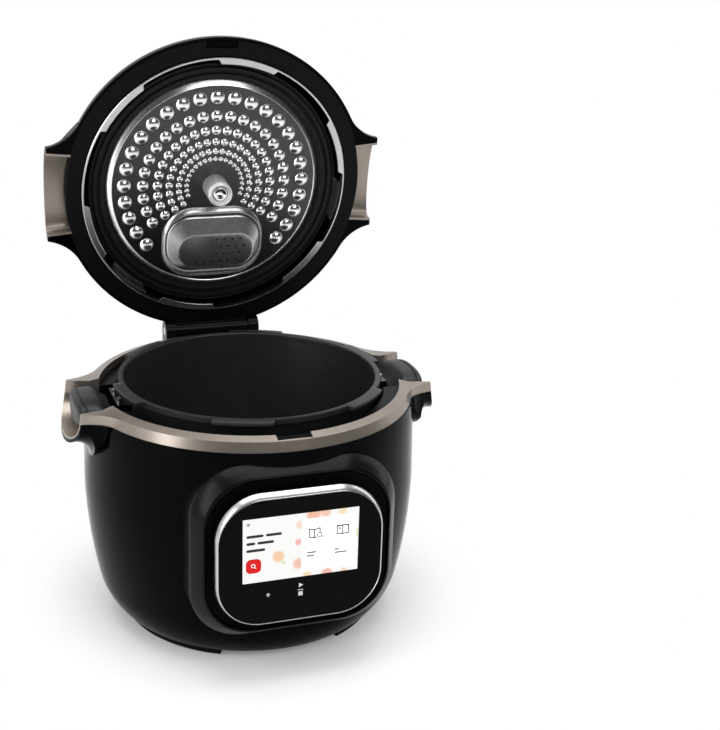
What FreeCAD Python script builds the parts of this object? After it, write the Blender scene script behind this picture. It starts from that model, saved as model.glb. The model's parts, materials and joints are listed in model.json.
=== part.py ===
"""Electric pressure cooker with a hinged domed lid, a lift-out pot and a touch panel.

Millimetres, +Z up, the control panel faces -Y.  The origin is on the table under the
centre of the base.  The lid is drawn closed and then swung open about its hinge.
"""
import math
import os
import re

import FreeCAD
import Part
import Sketcher

V = FreeCAD.Vector
doc = FreeCAD.newDocument("PressureCooker")
sheet = doc.addObject("Spreadsheet::Sheet", "Dims")

# Driving dimensions: lengths in mm, angles in degrees
DIMENSIONS = {
    # Feet
    "foot_height": 9.0, "pad_height": 1.2, "foot_set": 4.5, "foot_width": 22.0,
    "foot_angle": 55.0, "foot_turn": 35.0, "pad_inset": 4.0,
    # Housing outline
    "foot_in": 20.0, "haunch_in": 11.0, "belly_out": 1.3, "shoulder_out": 1.7, "ring_set": 1.0,
    "haunch_rise": 36.0, "belly_rise": 136.0,
    "shoulder_rise": 188.0, "housing_rise": 212.0, "haunch_arc": 66.0, "belly_arc": 478.0,
    "shoulder_arc": 240.0, "housing_wall": 3.0, "pan_thick": 3.0, "fit_gap": 0.2,
    "cut_over": 1.0,
    # Trim ring and its two ears
    "ring_height": 12.0, "ring_width": 12.0, "ring_gap": 18.5, "ring_slope": 2.5, "ring_taper": 2.7,
    "ear_over": 4.0, "ear_lean": 8.0, "ear_blend": 15.0,
    "ear_half": 48.0, "flare_radius": 45.0, "scoop_half": 46.3, "scoop_inner_half": 39.0,
    "scoop_depth": 35.2, "scoop_round": 22.5, "scoop_wall": 2.2, "ear_wall": 3.2,
    "scoop_set": 11.5, "scoop_run_in": 6.0, "scoop_run_out": 8.0, "scoop_over": 20.0,
    "ear_slack": 20.0, "notch_half": 16.0, "notch_depth": 3.0, "notch_width": 8.0,
    # Deck round the pot
    "pot_gap": 3.0, "deck_lip": 5.0, "deck_depth": 24.0, "deck_lip_width": 4.0,
    "channel_half": 37.0, "channel_depth": 20.0,
    # Tub, heater and sensor
    "tub_set": 2.4, "tub_wall": 1.2, "tub_lip": 9.6, "tub_drop": 14.0,
    "plate_radius": 112.0, "plate_thick": 6.0, "element_radius": 80.0, "element_width": 10.0,
    "element_height": 8.0, "sensor_radius": 9.0, "sensor_stem": 5.0, "sensor_cap": 2.5,
    "sensor_length": 20.0, "sensor_gap": 0.3, "running_gap": 0.05, "slide_gap": 0.4,
    "socket_thick": 3.0, "socket_radius": 16.0,
    # Pot
    "pot_above_ring": 7.0, "pot_height": 140.0, "pot_radius": 123.0, "pot_foot_radius": 114.0,
    "pot_wall": 2.0, "pot_corner": 16.0, "bead_width": 3.5, "bead_height": 6.0,
    "lug_reach": 6.5, "lug_height": 4.0, "lug_angle": 26.0, "lug_turn": 12.0,
    # Pot handles
    "neck_run": 7.0, "grip_half": 34.5, "grip_top_drop": 7.2, "grip_side": 17.8,
    "grip_belly": 9.0, "neck_drop": 10.8, "grip_head": 20.0, "grip_stand": 10.0,
    "bracket_half": 24.0, "bracket_height": 12.0, "screw_radius": 3.0, "screw_length": 3.0,
    "grip_fillet": 12.0, "grip_crown": 4.0, "rise_in": 4.8, "rise_up": 4.2,
    # Lid shells
    "lid_gap": 1.0, "lid_rim": 18.8, "dome_height": 80.0, "dome_wall": 3.0,
    "jaw_gap": 0.8, "well_wall": 2.0, "well_depth": 30.0, "frame_thick": 4.0,
    "lid_scoop_half": 42.0, "lid_scoop_inner_half": 39.0, "lid_scoop_set": 4.0,
    "lid_scoop_depth": 18.0, "lid_scoop_round": 10.0, "lid_ear_set": 6.0, "lid_ear_spread": 1.5,
    # Hinge
    "hinge_out": 3.4, "hinge_above_ring": 2.0, "lid_open_angle": 80.5, "pin_radius": 4.0,
    "barrel_radius": 8.0, "barrel_half": 39.0, "lug_thick": 11.0, "lug_eye": 10.5,
    "hinge_side_gap": 0.4, "hinge_clearance": 0.8, "arm_height": 13.0, "bracket_drop": 36.0,
    # Inside the lid
    "disc_set": 12.0, "disc_above_rim": 9.4, "disc_thick": 1.2, "disc_skirt": 7.0,
    "disc_bead": 3.5, "carrier_set": 1.5, "carrier_thick": 3.0, "post_radius": 8.0,
    "post_reach": 24.0, "boss_radius": 7.0, "boss_circle": 95.0, "nut_radius": 12.5,
    "nut_length": 28.0, "nut_taper": 5.6, "nut_tip": 10.6, "gasket_width": 17.5, "gasket_gap": 0.3,
    "cover_half_length": 54.0, "cover_set": 10.0, "cover_nut_gap": 10.5,
    "cover_flat": 6.0, "cover_height": 10.5, "cover_wall": 1.5, "cover_gap": 0.2,
    "ball_radius": 5.0, "ball_offset": 24.0, "seat_bore": 6.0, "seat_radius": 9.0,
    "seat_lip": 3.5, "seat_height": 12.0, "valve_stem": 4.0, "valve_length": 17.0,
    # Jaw lock
    "lug_gap": 1.5, "jaw_wall": 1.9, "jaw_height": 8.0, "tooth_gap": 3.1,
    "tooth_height": 3.6, "tooth_angle": 27.0, "drive_above": 4.0, "drive_thick": 4.0,
    "spoke_angle": 18.0, "spoke_turn": 10.0, "boss_turn": 85.0, "hub_radius": 30.0, "hub_bore": 12.0,
    "shaft_radius": 14.0, "knob_radius": 46.0, "knob_height": 7.0, "knob_gap": 1.0, "bar_half": 58.0,
    "bar_width": 26.0, "bar_round": 12.0, "bar_height": 13.0,
    # Steam vent on the dome
    "vent_radius": 15.0, "vent_back": 78.0, "vent_height": 7.0, "vent_slot_half": 9.0, "slot_half": 2.0,
    # Control panel
    "panel_out": 14.0, "panel_centre": 128.0, "rim_half": 78.8, "rim_half_height": 67.0,
    "rim_corner": 44.0, "rim_width": 1.8, "rim_depth": 9.0, "glass_set": 3.0, "glass_thick": 2.0,
    "screen_width": 106.7, "screen_height": 61.9, "screen_above": 10.0, "screen_gap": 0.15,
    "bezel_margin": 9.5, "pod_margin": 17.0, "pod_depth": 22.0,
    "pod_root": 40.0, "pod_wall": 5.5, "board_thick": 1.6, "board_gap": 1.5, "board_inset": 11.0,
    # Rear fittings
    "cup_half": 30.0, "cup_depth": 24.0, "cup_height": 44.0, "cup_wall": 1.6, "cup_top": 178.0,
    "rail_thick": 4.0, "rail_height": 31.0, "inlet_half": 24.0, "inlet_height": 26.0, "inlet_depth": 14.0,
    "inlet_level": 40.0, "inlet_pin_radius": 2.0, "inlet_pin_pitch": 7.0, "inlet_pin_length": 9.8,
    "power_board_half": 55.0, "power_board_level": 24.0, "pillar_radius": 4.0,
}

# Levels and places that follow from them
DERIVED = {
    "bead_radius": "pot_radius + bead_width",
    "lug_radius": "bead_radius + lug_reach",
    "ring_inner": "bead_radius + ring_gap",
    "ring_radius": "ring_inner + ring_width",
    "neck_radius": "ring_radius + ring_set",
    "shoulder_radius": "neck_radius + shoulder_out",
    "belly_radius": "shoulder_radius + belly_out",
    "haunch_radius": "belly_radius - haunch_in",
    "housing_foot_radius": "haunch_radius - foot_in",
    "foot_radius": "housing_foot_radius - foot_set",
    "deck_inner": "pot_radius + pot_gap",
    "tub_inner": "deck_inner + tub_set",
    "tub_flange": "tub_inner + tub_lip",
    "grip_root": "pot_radius + grip_stand",
    "grip_reach": "grip_root + neck_run + grip_fillet + grip_head",
    "ear_radius": "grip_reach + ear_over",
    "scoop_start": "ring_radius - scoop_set",
    "jaw_inner": "lug_radius + lug_gap",
    "jaw_radius": "jaw_inner + jaw_wall",
    "tooth_inner": "bead_radius + tooth_gap",
    "well_radius": "jaw_radius + jaw_gap",
    "lid_radius": "well_radius + lid_rim",
    "lid_scoop_start": "lid_radius - lid_scoop_set",
    "hinge_back": "lid_radius + hinge_out",
    "disc_radius": "pot_radius - disc_set",
    "cover_half_width": "(disc_radius - cover_set - cover_nut_gap - nut_radius) / 2",
    "cover_centre": "disc_radius - cover_set - cover_half_width",
    "cover_corner": "cover_half_width - cover_flat",
    "gasket_radius": "disc_radius + gasket_width",
    "carrier_radius": "gasket_radius - carrier_set",
    "panel_front": "belly_radius + panel_out",
    "ring_seat": "foot_height + housing_rise",
    "ring_top": "ring_seat + ring_height",
    "pot_rim": "ring_top + pot_above_ring",
    "pot_floor": "pot_rim - pot_height",
    "plate_low": "pot_floor - plate_thick",
    "lid_base": "ring_top + lid_gap",
    "hinge_level": "ring_top + hinge_above_ring",
    "disc_level": "lid_base + disc_above_rim",
    "carrier_level": "disc_level + disc_skirt",
    "drive_level": "carrier_level + carrier_thick + drive_above",
    "dome_top": "lid_base + dome_height",
    "knob_level": "dome_top + knob_gap",
    "jaw_low": "pot_rim - lug_height - slide_gap - tooth_height",
    "grip_top": "pot_rim - grip_top_drop",
    "grip_low": "grip_top - grip_side",
    "screen_level": "panel_centre + screen_above",
    "ear_low": "ring_top - scoop_depth - scoop_wall - ear_wall - ear_slack",
    "vent_level": "lid_base + dome_height * sqrt(1 - vent_back * vent_back / lid_radius / lid_radius)",
}

for row, (alias, content) in enumerate(list(DIMENSIONS.items()) + list(DERIVED.items()), start=1):
    sheet.set(f"A{row}", alias)
    sheet.setAlias(f"B{row}", alias)
    sheet.set(f"B{row}", f"={content}" if alias in DERIVED else str(content))
doc.recompute()

NODES = []
LUGS = 6
SPOKES = 3
BLEND_STEPS = 7
SIDES = {"left": -1, "right": 1}
FEET = {
    "front_left": "foot_turn - 180", "front_right": "-foot_turn",
    "rear_left": "180 - foot_turn", "rear_right": "foot_turn",
}


def bound(expression):
    """The expression with every sheet alias written as Dims.alias."""
    return re.sub(r"[a-z]+(_[a-z]+)+", lambda word: f"Dims.{word.group(0)}", expression)


def size(expression):
    """The number that an expression of sheet aliases comes to now."""
    return float(sheet.evalExpression(bound(expression)))


def node(label, thing, lid=False):
    """Give a finished sub-part its label, and swing a lid piece open about the hinge."""
    thing.Label = label
    if lid:
        hinge = V(0, size("hinge_back"), size("hinge_level"))
        turn = FreeCAD.Rotation(V(1, 0, 0), -size("lid_open_angle"))
        thing.Placement = FreeCAD.Placement(V(0, 0, 0), turn, hinge)
    NODES.append(thing)
    return thing


def bind(thing, sizes, place=("0", "0", "0")):
    """Bind an object's sizes and the base of its placement to the sheet."""
    for name, expression in sizes.items():
        thing.setExpression(name, bound(expression))
    for axis, expression in zip("xyz", place):
        thing.setExpression(f".Placement.Base.{axis}", bound(expression))
    return thing


def cylinder(radius, height, level, x="0", y="0", sector=None, start=0.0):
    """Upright cylinder, or a sector of one that starts at an angle."""
    thing = doc.addObject("Part::Cylinder", "Cylinder")
    sizes = {"Radius": radius, "Height": height}
    if sector:
        sizes["Angle"] = sector
    bind(thing, sizes, (x, y, level))
    thing.Placement.Rotation = FreeCAD.Rotation(V(0, 0, 1), start)
    return thing


def rod(radius, low, high, y, level):
    """Cylinder along X from one place to another."""
    thing = doc.addObject("Part::Cylinder", "Rod")
    bind(thing, {"Radius": radius, "Height": f"({high}) - ({low})"}, (low, y, level))
    thing.Placement.Rotation = FreeCAD.Rotation(V(0, 1, 0), 90)
    return thing


def box(x, y, z):
    """Box between pairs of low and high expressions."""
    thing = doc.addObject("Part::Box", "Block")
    names = ("Length", "Width", "Height")
    sides = {name: f"({pair[1]}) - ({pair[0]})" for name, pair in zip(names, (x, y, z))}
    return bind(thing, sides, (x[0], y[0], z[0]))


def cut(base, *tools):
    """The base less each tool."""
    for tool in tools:
        result = doc.addObject("Part::Cut", "Cut")
        result.Base, result.Tool = base, tool
        base = result
    return base


def fuse(*things):
    """One solid of several, with the seams between them removed."""
    result = doc.addObject("Part::MultiFuse", "Fuse")
    result.Shapes = list(things)
    result.Refine = True
    return result


def group(*things):
    """Several separate solids kept together."""
    result = doc.addObject("Part::Compound", "Group")
    result.Links = list(things)
    return result


def drawn(name, shape):
    """A shape made with curves and lofts, kept as one object."""
    thing = doc.addObject("Part::Feature", name)
    thing.Shape = shape
    return thing


def sketch_outline(sketch, outline):
    """Closed outline of (across, up) or (across, up, arc radius, turn) with every point bound."""
    spots = [V(size(spot[0]), size(spot[1]), 0) for spot in outline]
    ends = []
    for index, spot in enumerate(outline):
        start, end = spots[index - 1], spots[index]
        if len(spot) == 2:
            edge = sketch.addGeometry(Part.LineSegment(start, end))
            ends.append((edge, 1, 2))
            continue
        radius, turn = size(spot[2]), spot[3]
        chord = end - start
        reach = math.sqrt(radius ** 2 - chord.Length ** 2 / 4)
        side = V(-chord.y, chord.x, 0).normalize() * (reach * turn)
        centre = (start + end) * 0.5 + side
        first, last = (start, end) if turn > 0 else (end, start)
        angles = [math.atan2(point.y - centre.y, point.x - centre.x) for point in (first, last)]
        edge = sketch.addGeometry(Part.ArcOfCircle(Part.Circle(centre, V(0, 0, 1), radius), *angles))
        ends.append((edge, 1, 2) if turn > 0 else (edge, 2, 1))
    for index, (edge, start, end) in enumerate(ends):
        following, next_start, next_end = ends[(index + 1) % len(ends)]
        sketch.addConstraint(Sketcher.Constraint("Coincident", edge, end, following, next_start))
        across, up = outline[index][:2]
        for kind, value, axis in (("DistanceX", across, -2), ("DistanceY", up, -1)):
            if abs(size(value)) < 1e-9:
                sketch.addConstraint(Sketcher.Constraint("PointOnObject", edge, end, axis))
                continue
            number = sketch.addConstraint(Sketcher.Constraint(kind, edge, end, size(value)))
            sketch.setExpression(f"Constraints[{number}]", bound(value))
        if len(outline[index]) > 2:
            number = sketch.addConstraint(Sketcher.Constraint("Radius", edge, size(outline[index][2])))
            sketch.setExpression(f"Constraints[{number}]", bound(outline[index][2]))


def sketched(body, plane, outline, shift="0"):
    """Sketch of an outline on one of the body's own origin planes, moved along its normal."""
    sketch = body.newObject("Sketcher::SketchObject", "Sketch")
    support = [part for part in body.Origin.OriginFeatures if part.Role == plane]
    sketch.AttachmentSupport = [(support[0], "")]
    sketch.MapMode = "FlatFace"
    sketch.setExpression(".AttachmentOffset.Base.z", bound(shift))
    sketch_outline(sketch, outline)
    return sketch


def turned(outline):
    """Body turned about Z from an outline of (radius, height)."""
    body = doc.addObject("PartDesign::Body", "Turned")
    sketch = sketched(body, "XZ_Plane", outline)
    feature = body.newObject("PartDesign::Revolution", "Revolution")
    feature.Profile = sketch
    feature.ReferenceAxis = (sketch, ["V_Axis"])
    return body


def padded(plane, outline, shift, length):
    """Body padded from an outline, starting at a distance along the plane's normal."""
    body = doc.addObject("PartDesign::Body", "Padded")
    sketch = sketched(body, plane, outline, shift)
    feature = body.newObject("PartDesign::Pad", "Pad")
    feature.Profile = sketch
    feature.setExpression("Length", bound(length))
    return body


def rounded(half, low, high, corner):
    """Outline of a rectangle with round corners, centred across."""
    left, right = f"-({half})", f"{half}"
    return [
        (f"{left} + ({corner})", low), (f"{right} - ({corner})", low),
        (right, f"({low}) + ({corner})", corner, 1), (right, f"({high}) - ({corner})"),
        (f"{right} - ({corner})", high, corner, 1), (f"{left} + ({corner})", high),
        (left, f"({high}) - ({corner})", corner, 1), (left, f"({low}) + ({corner})"),
        (f"{left} + ({corner})", low, corner, 1),
    ][1:]


def tube(outer, inner, low, high):
    """Ring of square section."""
    return turned([(inner, low), (outer, low), (outer, high), (inner, high)])


def ear_ends(low, high):
    """Cone that trims the base's ears, so that their ends lean out downwards."""
    slope = size("ear_lean / (ring_top - ear_low)")
    wide, narrow = (size("ear_radius") + slope * (size("ring_top") - level) for level in (low, high))
    return Part.makeCone(wide, narrow, high - low, V(0, 0, low))


def flare_places(radius):
    """Centre of the round that flares a circle out into an ear, and where it touches the circle."""
    flare, along = size("flare_radius"), size("ear_half + flare_radius")
    centre = V(math.sqrt((radius + flare) ** 2 - along ** 2), along, 0)
    return centre, centre * (radius / (radius + flare))


def ear_plan(radius, low, high, ends):
    """Plan shared by ring and lid: a circle with an ear flared out on each side, cut to its ends."""
    reach, half, flare = size("ear_radius + ear_lean"), size("ear_half"), size("flare_radius")
    span = high - low
    plan = Part.makeCylinder(radius, span, V(0, 0, low))
    plan = plan.fuse(Part.makeBox(2 * reach, 2 * half, span, V(-reach, -half, low)))
    centre, touch = flare_places(radius)
    for across in (-1, 1):
        for along in (-1, 1):
            corner = V(min(across * touch.x, across * centre.x), min(along * half, along * touch.y), low)
            web = Part.makeBox(centre.x - touch.x, touch.y - half, span, corner)
            web = web.cut(Part.makeCylinder(flare, span, V(across * centre.x, along * centre.y, low)))
            plan = plan.fuse(web)
    return plan.common(ends).removeSplitter()


def channel_end(x, half, rim, depth, curve, up):
    """U-shaped section across an ear at one distance from the centre."""
    way = 1 if up else -1
    turn = rim + way * (depth - curve)
    ellipse = Part.Ellipse(V(x, half, turn), V(x, 0, turn + way * curve), V(x, 0, turn))
    arc = Part.ArcOfEllipse(ellipse, 0, math.pi).toShape()
    corners = [V(x, -half, turn), V(x, -half, rim), V(x, half, rim), V(x, half, turn)]
    return Part.Wire([arc] + [Part.makeLine(*pair) for pair in zip(corners, corners[1:])])


def channel(side, rim, halves, depth, curve, walls, up=False):
    """Hand scoop through an ear, narrowing inwards, open at the rim.

    The halves are its half widths at its start and at the ear's end.  The walls give its offset sideways and
    in depth at each distance from the centre.
    """
    over = size("scoop_over")
    slope = (halves[1] - halves[0]) / size("ear_radius - scoop_start")
    lip = rim - over if up else rim + over
    sections = []
    for distance, aside, deeper in walls:
        half = halves[0] + slope * (distance - size("scoop_start")) + aside
        sections.append(channel_end(side * distance, half, lip, depth + deeper + over, curve + deeper, up))
    return Part.makeLoft(sections, True, True)


def even_wall(grow):
    """Offset of a scoop that is the same all along."""
    start, end = size("ring_inner - scoop_run_in"), size("ear_radius + scoop_run_out")
    return [(start, grow, grow), (end, grow, grow)]


def swells(start, root):
    """How far an ear's outside swells, at distances from the centre, in a quarter round towards its root."""
    blend = size("ear_blend")
    steps = [(start, blend)]
    for step in range(BLEND_STEPS + 1):
        turn = math.pi / 2 * step / BLEND_STEPS
        steps.append((root + blend * (1 - math.cos(turn)), blend * (1 - math.sin(turn))))
    return steps + [(size("ear_radius + scoop_run_out"), 0)]


def base_channel(side, walls):
    """Scoop of the base's ear, or its outside, with the walls given."""
    halves = size("scoop_inner_half"), size("scoop_half")
    return channel(side, size("ring_top"), halves, size("scoop_depth"), size("scoop_round"), walls)


def lid_channel(side, walls):
    """Scoop of the lid's ear with the walls given."""
    halves = size("lid_scoop_inner_half"), size("lid_scoop_half")
    depth, curve = size("lid_scoop_depth"), size("lid_scoop_round")
    return channel(side, size("lid_base"), halves, depth, curve, walls, up=True)


def base_outside(side):
    """Outside of the base's ear, swelling towards the housing."""
    wall = size("scoop_wall + ear_wall")
    steps = swells(size("ring_inner - scoop_run_in"), size("shoulder_radius"))
    return base_channel(side, [(distance, wall + swell, wall + swell) for distance, swell in steps])


def lid_outside(side):
    """Outside of the lid's ear: an arch as wide as its flares, deepening towards the dome."""
    centre, touch = flare_places(size("lid_radius"))
    rim, over = size("lid_base"), size("scoop_over")
    sections = []
    for distance, swell in swells(touch.x, size("lid_scoop_start")):
        bend = math.sqrt(size("flare_radius") ** 2 - min(0, distance - centre.x) ** 2)
        half = centre.y - bend + size("lid_ear_spread")
        depth = size("lid_scoop_depth + scoop_wall + dome_wall") + swell
        sections.append(channel_end(side * distance, half, rim - over, depth + over, depth, True))
    return Part.makeLoft(sections, True, True)


def ring_between(outer, inner, low, high):
    """Plain ring as a shape."""
    ring = Part.makeCylinder(outer, high - low, V(0, 0, low))
    return ring.cut(Part.makeCylinder(inner, high - low, V(0, 0, low)))


def dome_solid(inset):
    """Half ellipsoid of the lid, drawn in by a wall."""
    radius, height = size("lid_radius") - inset, size("dome_height") - inset
    ball = Part.makeSphere(radius, V(0, 0, 0), V(0, 0, 1), 0, 90, 360)
    matrix = FreeCAD.Matrix()
    matrix.scale(V(1, 1, height / radius))
    solid = ball.transformGeometry(matrix)
    solid.translate(V(0, 0, size("lid_base")))
    return solid


# Housing: a turned shell with a black ear shell on each side
housing_outer = [
    ("housing_foot_radius", "foot_height"),
    ("haunch_radius", "foot_height + haunch_rise", "haunch_arc", 1),
    ("belly_radius", "foot_height + belly_rise", "belly_arc", 1),
    ("shoulder_radius", "foot_height + shoulder_rise"),
    ("neck_radius", "ring_seat", "shoulder_arc", 1),
]
housing_inner = [
    ("neck_radius - housing_wall", "ring_seat"),
    ("shoulder_radius - housing_wall", "foot_height + shoulder_rise", "shoulder_arc - housing_wall", -1),
    ("belly_radius - housing_wall", "foot_height + belly_rise"),
    ("haunch_radius - housing_wall", "foot_height + haunch_rise", "belly_arc - housing_wall", -1),
    ("housing_foot_radius - housing_wall", "foot_height", "haunch_arc - housing_wall", -1),
]
shell = turned(housing_outer + housing_inner)
filled = turned(housing_outer + [("0", "ring_seat"), ("0", "foot_height")])
housing_clear = turned([
    ("housing_foot_radius + fit_gap", "foot_height"),
    ("haunch_radius + fit_gap", "foot_height + haunch_rise", "haunch_arc + fit_gap", 1),
    ("belly_radius + fit_gap", "foot_height + belly_rise", "belly_arc + fit_gap", 1),
    ("shoulder_radius + fit_gap", "foot_height + shoulder_rise"),
    ("neck_radius + fit_gap", "ring_seat", "shoulder_arc + fit_gap", 1),
    ("0", "ring_seat"), ("0", "foot_height"),
])
hollow = turned([("0", "foot_height"), ("0", "ring_seat")] + housing_inner)
doc.recompute()

under_ring = ear_ends(size("ear_low"), size("ring_seat"))
ear_block = ear_plan(size("ring_radius"), size("ear_low"), size("ring_seat"), under_ring)
ear_shells = []
scoop_room = []
for side in SIDES.values():
    ear_shells.append(ear_block.common(base_outside(side)).cut(hollow.Shape).cut(filled.Shape))
    scoop_room.append(base_channel(side, even_wall(size("scoop_wall"))))
inlet_corner = V(-size("inlet_half"), size("haunch_radius - inlet_depth"), size("inlet_level"))
inlet_window = Part.makeBox(size("inlet_half * 2"), size("inlet_depth * 2"), size("inlet_height"), inlet_corner)
housing_shape = shell.Shape.fuse(ear_shells).cut(Part.makeCompound(scoop_room)).cut(inlet_window)
node("housing", drawn("Housing", housing_shape.removeSplitter()))

# Trim ring: a band with a sloping top, flared into the ears, with a scoop in each and a gap for the hinge
band = turned([
    ("ring_inner", "ring_seat"), ("ring_radius", "ring_seat"),
    ("ring_radius - ring_taper", "ring_top - ring_slope"), ("ring_inner", "ring_top"),
])
doc.recompute()
ear_top = size("ring_top - ring_slope")
ring_low, plan_radius = size("ring_seat"), size("ring_radius - ring_taper")
ring_shape = ear_plan(plan_radius, ring_low, ear_top, ear_ends(ring_low, ear_top))
ring_hole = Part.makeCylinder(size("ring_inner"), size("ring_height"), V(0, 0, size("ring_seat")))
ring_shape = ring_shape.cut(ring_hole).fuse(band.Shape)
scoop_zone = under_ring.cut(Part.makeCylinder(size("scoop_start"), size("ring_top")))
for side, room in zip(SIDES.values(), scoop_room):
    ring_shape = ring_shape.fuse(room.common(scoop_zone)).cut(base_channel(side, even_wall(0)))
hinge_half = size("barrel_half + hinge_side_gap + lug_thick + hinge_clearance")
hinge_front = size("hinge_back - lug_eye - hinge_clearance")
hinge_gap = Part.makeBox(2 * hinge_half, size("lug_eye * 4"), size("ring_height * 2"),
                         V(-hinge_half, hinge_front, ring_low))
ring_shape = ring_shape.cut(hinge_gap)
notch_front = -size("ring_inner + notch_width - cut_over")
notch_corner = V(-size("notch_half"), notch_front, size("ring_top - notch_depth"))
notch = Part.makeBox(size("notch_half * 2"), size("notch_width"), size("notch_depth"), notch_corner)
node("trim_ring", drawn("TrimRing", ring_shape.cut(notch).removeSplitter()))

# Deck under the ring, with a channel for each pot handle
deck_outer = "neck_radius - housing_wall - fit_gap"
deck = turned([
    ("deck_inner", "ring_seat - deck_depth"), (deck_outer, "ring_seat - deck_depth"),
    (deck_outer, "ring_seat"), ("ring_inner - fit_gap", "ring_seat"),
    ("ring_inner - fit_gap", "ring_seat + deck_lip"), ("deck_inner + deck_lip_width", "ring_seat + deck_lip"),
    ("deck_inner", "ring_seat"),
])
channels = box(("-ear_radius", "ear_radius"), ("-channel_half", "channel_half"),
               ("ring_seat - channel_depth", "ring_seat + deck_lip * 2"))
scoop_clear = []
for side in SIDES.values():
    clear = base_channel(side, even_wall(size("scoop_wall + fit_gap")))
    clear = clear.cut(Part.makeCylinder(size("scoop_start - fit_gap"), size("ring_top * 2")))
    scoop_clear.append(drawn("ScoopClear", clear))
node("deck", cut(deck, channels, *scoop_clear))

# Catch for the lid's hook, in the notch of the ring
catch = box(("fit_gap - notch_half", "notch_half - fit_gap"),
            ("fit_gap * 3 - ring_inner - notch_width + cut_over", "-ring_inner - fit_gap"),
            ("ring_top - notch_depth", "ring_top - notch_depth / 2"))
node("latch_catch", catch)

# Tub that carries the heater, hung under the deck
node("cavity_tub", turned([
    ("plate_radius - tub_drop", "plate_low - tub_wall"), ("tub_inner + tub_wall", "plate_low - tub_wall"),
    ("tub_inner + tub_wall", "ring_seat - deck_depth - tub_wall"),
    ("tub_flange", "ring_seat - deck_depth - tub_wall"), ("tub_flange", "ring_seat - deck_depth"),
    ("tub_inner", "ring_seat - deck_depth"), ("tub_inner", "plate_low"),
    ("plate_radius - tub_drop", "plate_low"),
]))
node("heating_plate", turned([
    ("sensor_radius + slide_gap", "plate_low"), ("plate_radius", "plate_low"),
    ("plate_radius", "pot_floor - sensor_gap"), ("sensor_radius + slide_gap", "pot_floor - sensor_gap"),
]))
node("heating_element", tube("element_radius + element_width / 2", "element_radius - element_width / 2",
                             "plate_low - element_height", "plate_low"))
node("sensor_socket", turned([
    ("sensor_stem + running_gap", "plate_low - socket_thick"), ("socket_radius", "plate_low - socket_thick"),
    ("socket_radius", "plate_low"), ("sensor_stem + running_gap", "plate_low"),
]))
sensor_top = "pot_floor - sensor_gap"
node("sensor_plunger", turned([
    ("0", f"{sensor_top} - sensor_length"), ("sensor_stem", f"{sensor_top} - sensor_length"),
    ("sensor_stem", f"{sensor_top} - sensor_cap"), ("sensor_radius", f"{sensor_top} - sensor_cap"),
    ("sensor_radius", sensor_top), ("0", sensor_top),
]))

# Bottom pan, feet and their pads
pan = cylinder("housing_foot_radius - housing_wall - fit_gap", "pan_thick", "foot_height")
node("bottom_pan", pan)
for name, turn in FEET.items():
    start = size(f"{turn} - foot_angle / 2")
    outer = cylinder("foot_radius", "foot_height - pad_height", "pad_height", sector="foot_angle", start=start)
    inner = cylinder("foot_radius - foot_width", "foot_height", "0", sector="foot_angle", start=start)
    node(f"foot_{name}", cut(outer, inner))
pads = []
pad_circle = "foot_radius - foot_width / 2"
for across in ("-", ""):
    for along in ("-", ""):
        pads.append(cylinder("foot_width / 2 - pad_inset", "pad_height", "0",
                             f"{across}({pad_circle}) * cos(foot_turn * 1deg)",
                             f"{along}({pad_circle}) * sin(foot_turn * 1deg)"))
node("foot_pads", group(*pads))

# Control panel: a flared pod, a bezel, a bright rim, dark glass and the screen
def panel_outline(margin):
    """Rounded outline of the panel, a margin outside its bright rim."""
    return rounded(f"rim_half + {margin}", f"panel_centre - rim_half_height - ({margin})",
                   f"panel_centre + rim_half_height + {margin}", f"rim_corner + {margin}")


def panel_ring(margin, width, back, depth):
    """Ring that follows the panel's outline, from a distance behind the panel's front."""
    outer = padded("XZ_Plane", panel_outline(margin), f"panel_front - ({back})", depth)
    inner = padded("XZ_Plane", panel_outline(f"{margin} - ({width})"), f"panel_front - ({back})", depth)
    return cut(outer, inner)


pod_back = padded("XZ_Plane", panel_outline("pod_margin"), "panel_front - pod_depth - pod_root", "pod_root")
pod_sections = []
for margin, behind in (("pod_margin", "pod_depth"), ("bezel_margin", "rim_depth")):
    section = doc.addObject("Sketcher::SketchObject", "PodSection")
    upright = FreeCAD.Rotation(V(1, 0, 0), 90)
    section.Placement = FreeCAD.Placement(V(0, -size(f"panel_front - {behind}"), 0), upright)
    sketch_outline(section, panel_outline(margin))
    pod_sections.append(section)
flare = doc.addObject("Part::Loft", "PodFlare")
flare.Sections = pod_sections
flare.Solid = True
flare.Ruled = True
pod_room = padded("XZ_Plane", panel_outline("-pod_wall"), "panel_front - pod_depth - pod_root - cut_over",
                  "pod_depth + pod_root")
node("panel_pod", cut(fuse(pod_back, flare), housing_clear, pod_room))
node("panel_rim", panel_ring("-fit_gap", "rim_width", "rim_depth", "rim_depth"))
window = box(("-screen_width / 2 - screen_gap", "screen_width / 2 + screen_gap"), ("-panel_front", "0"),
             ("screen_level - screen_height / 2 - screen_gap", "screen_level + screen_height / 2 + screen_gap"))
glass = padded("XZ_Plane", panel_outline("-rim_width - fit_gap * 2"), "panel_front - glass_set", "glass_thick")
node("panel_glass", cut(glass, window))
node("display", box(("-screen_width / 2", "screen_width / 2"),
                    ("glass_set - panel_front - glass_thick", "glass_set - panel_front"),
                    ("screen_level - screen_height / 2", "screen_level + screen_height / 2")))
board = padded("XZ_Plane", panel_outline("-board_inset"), "panel_front - glass_set - board_gap - board_thick",
               "board_thick")
spacers = [cylinder("pillar_radius", "board_gap", "0") for _ in range(4)]
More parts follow.
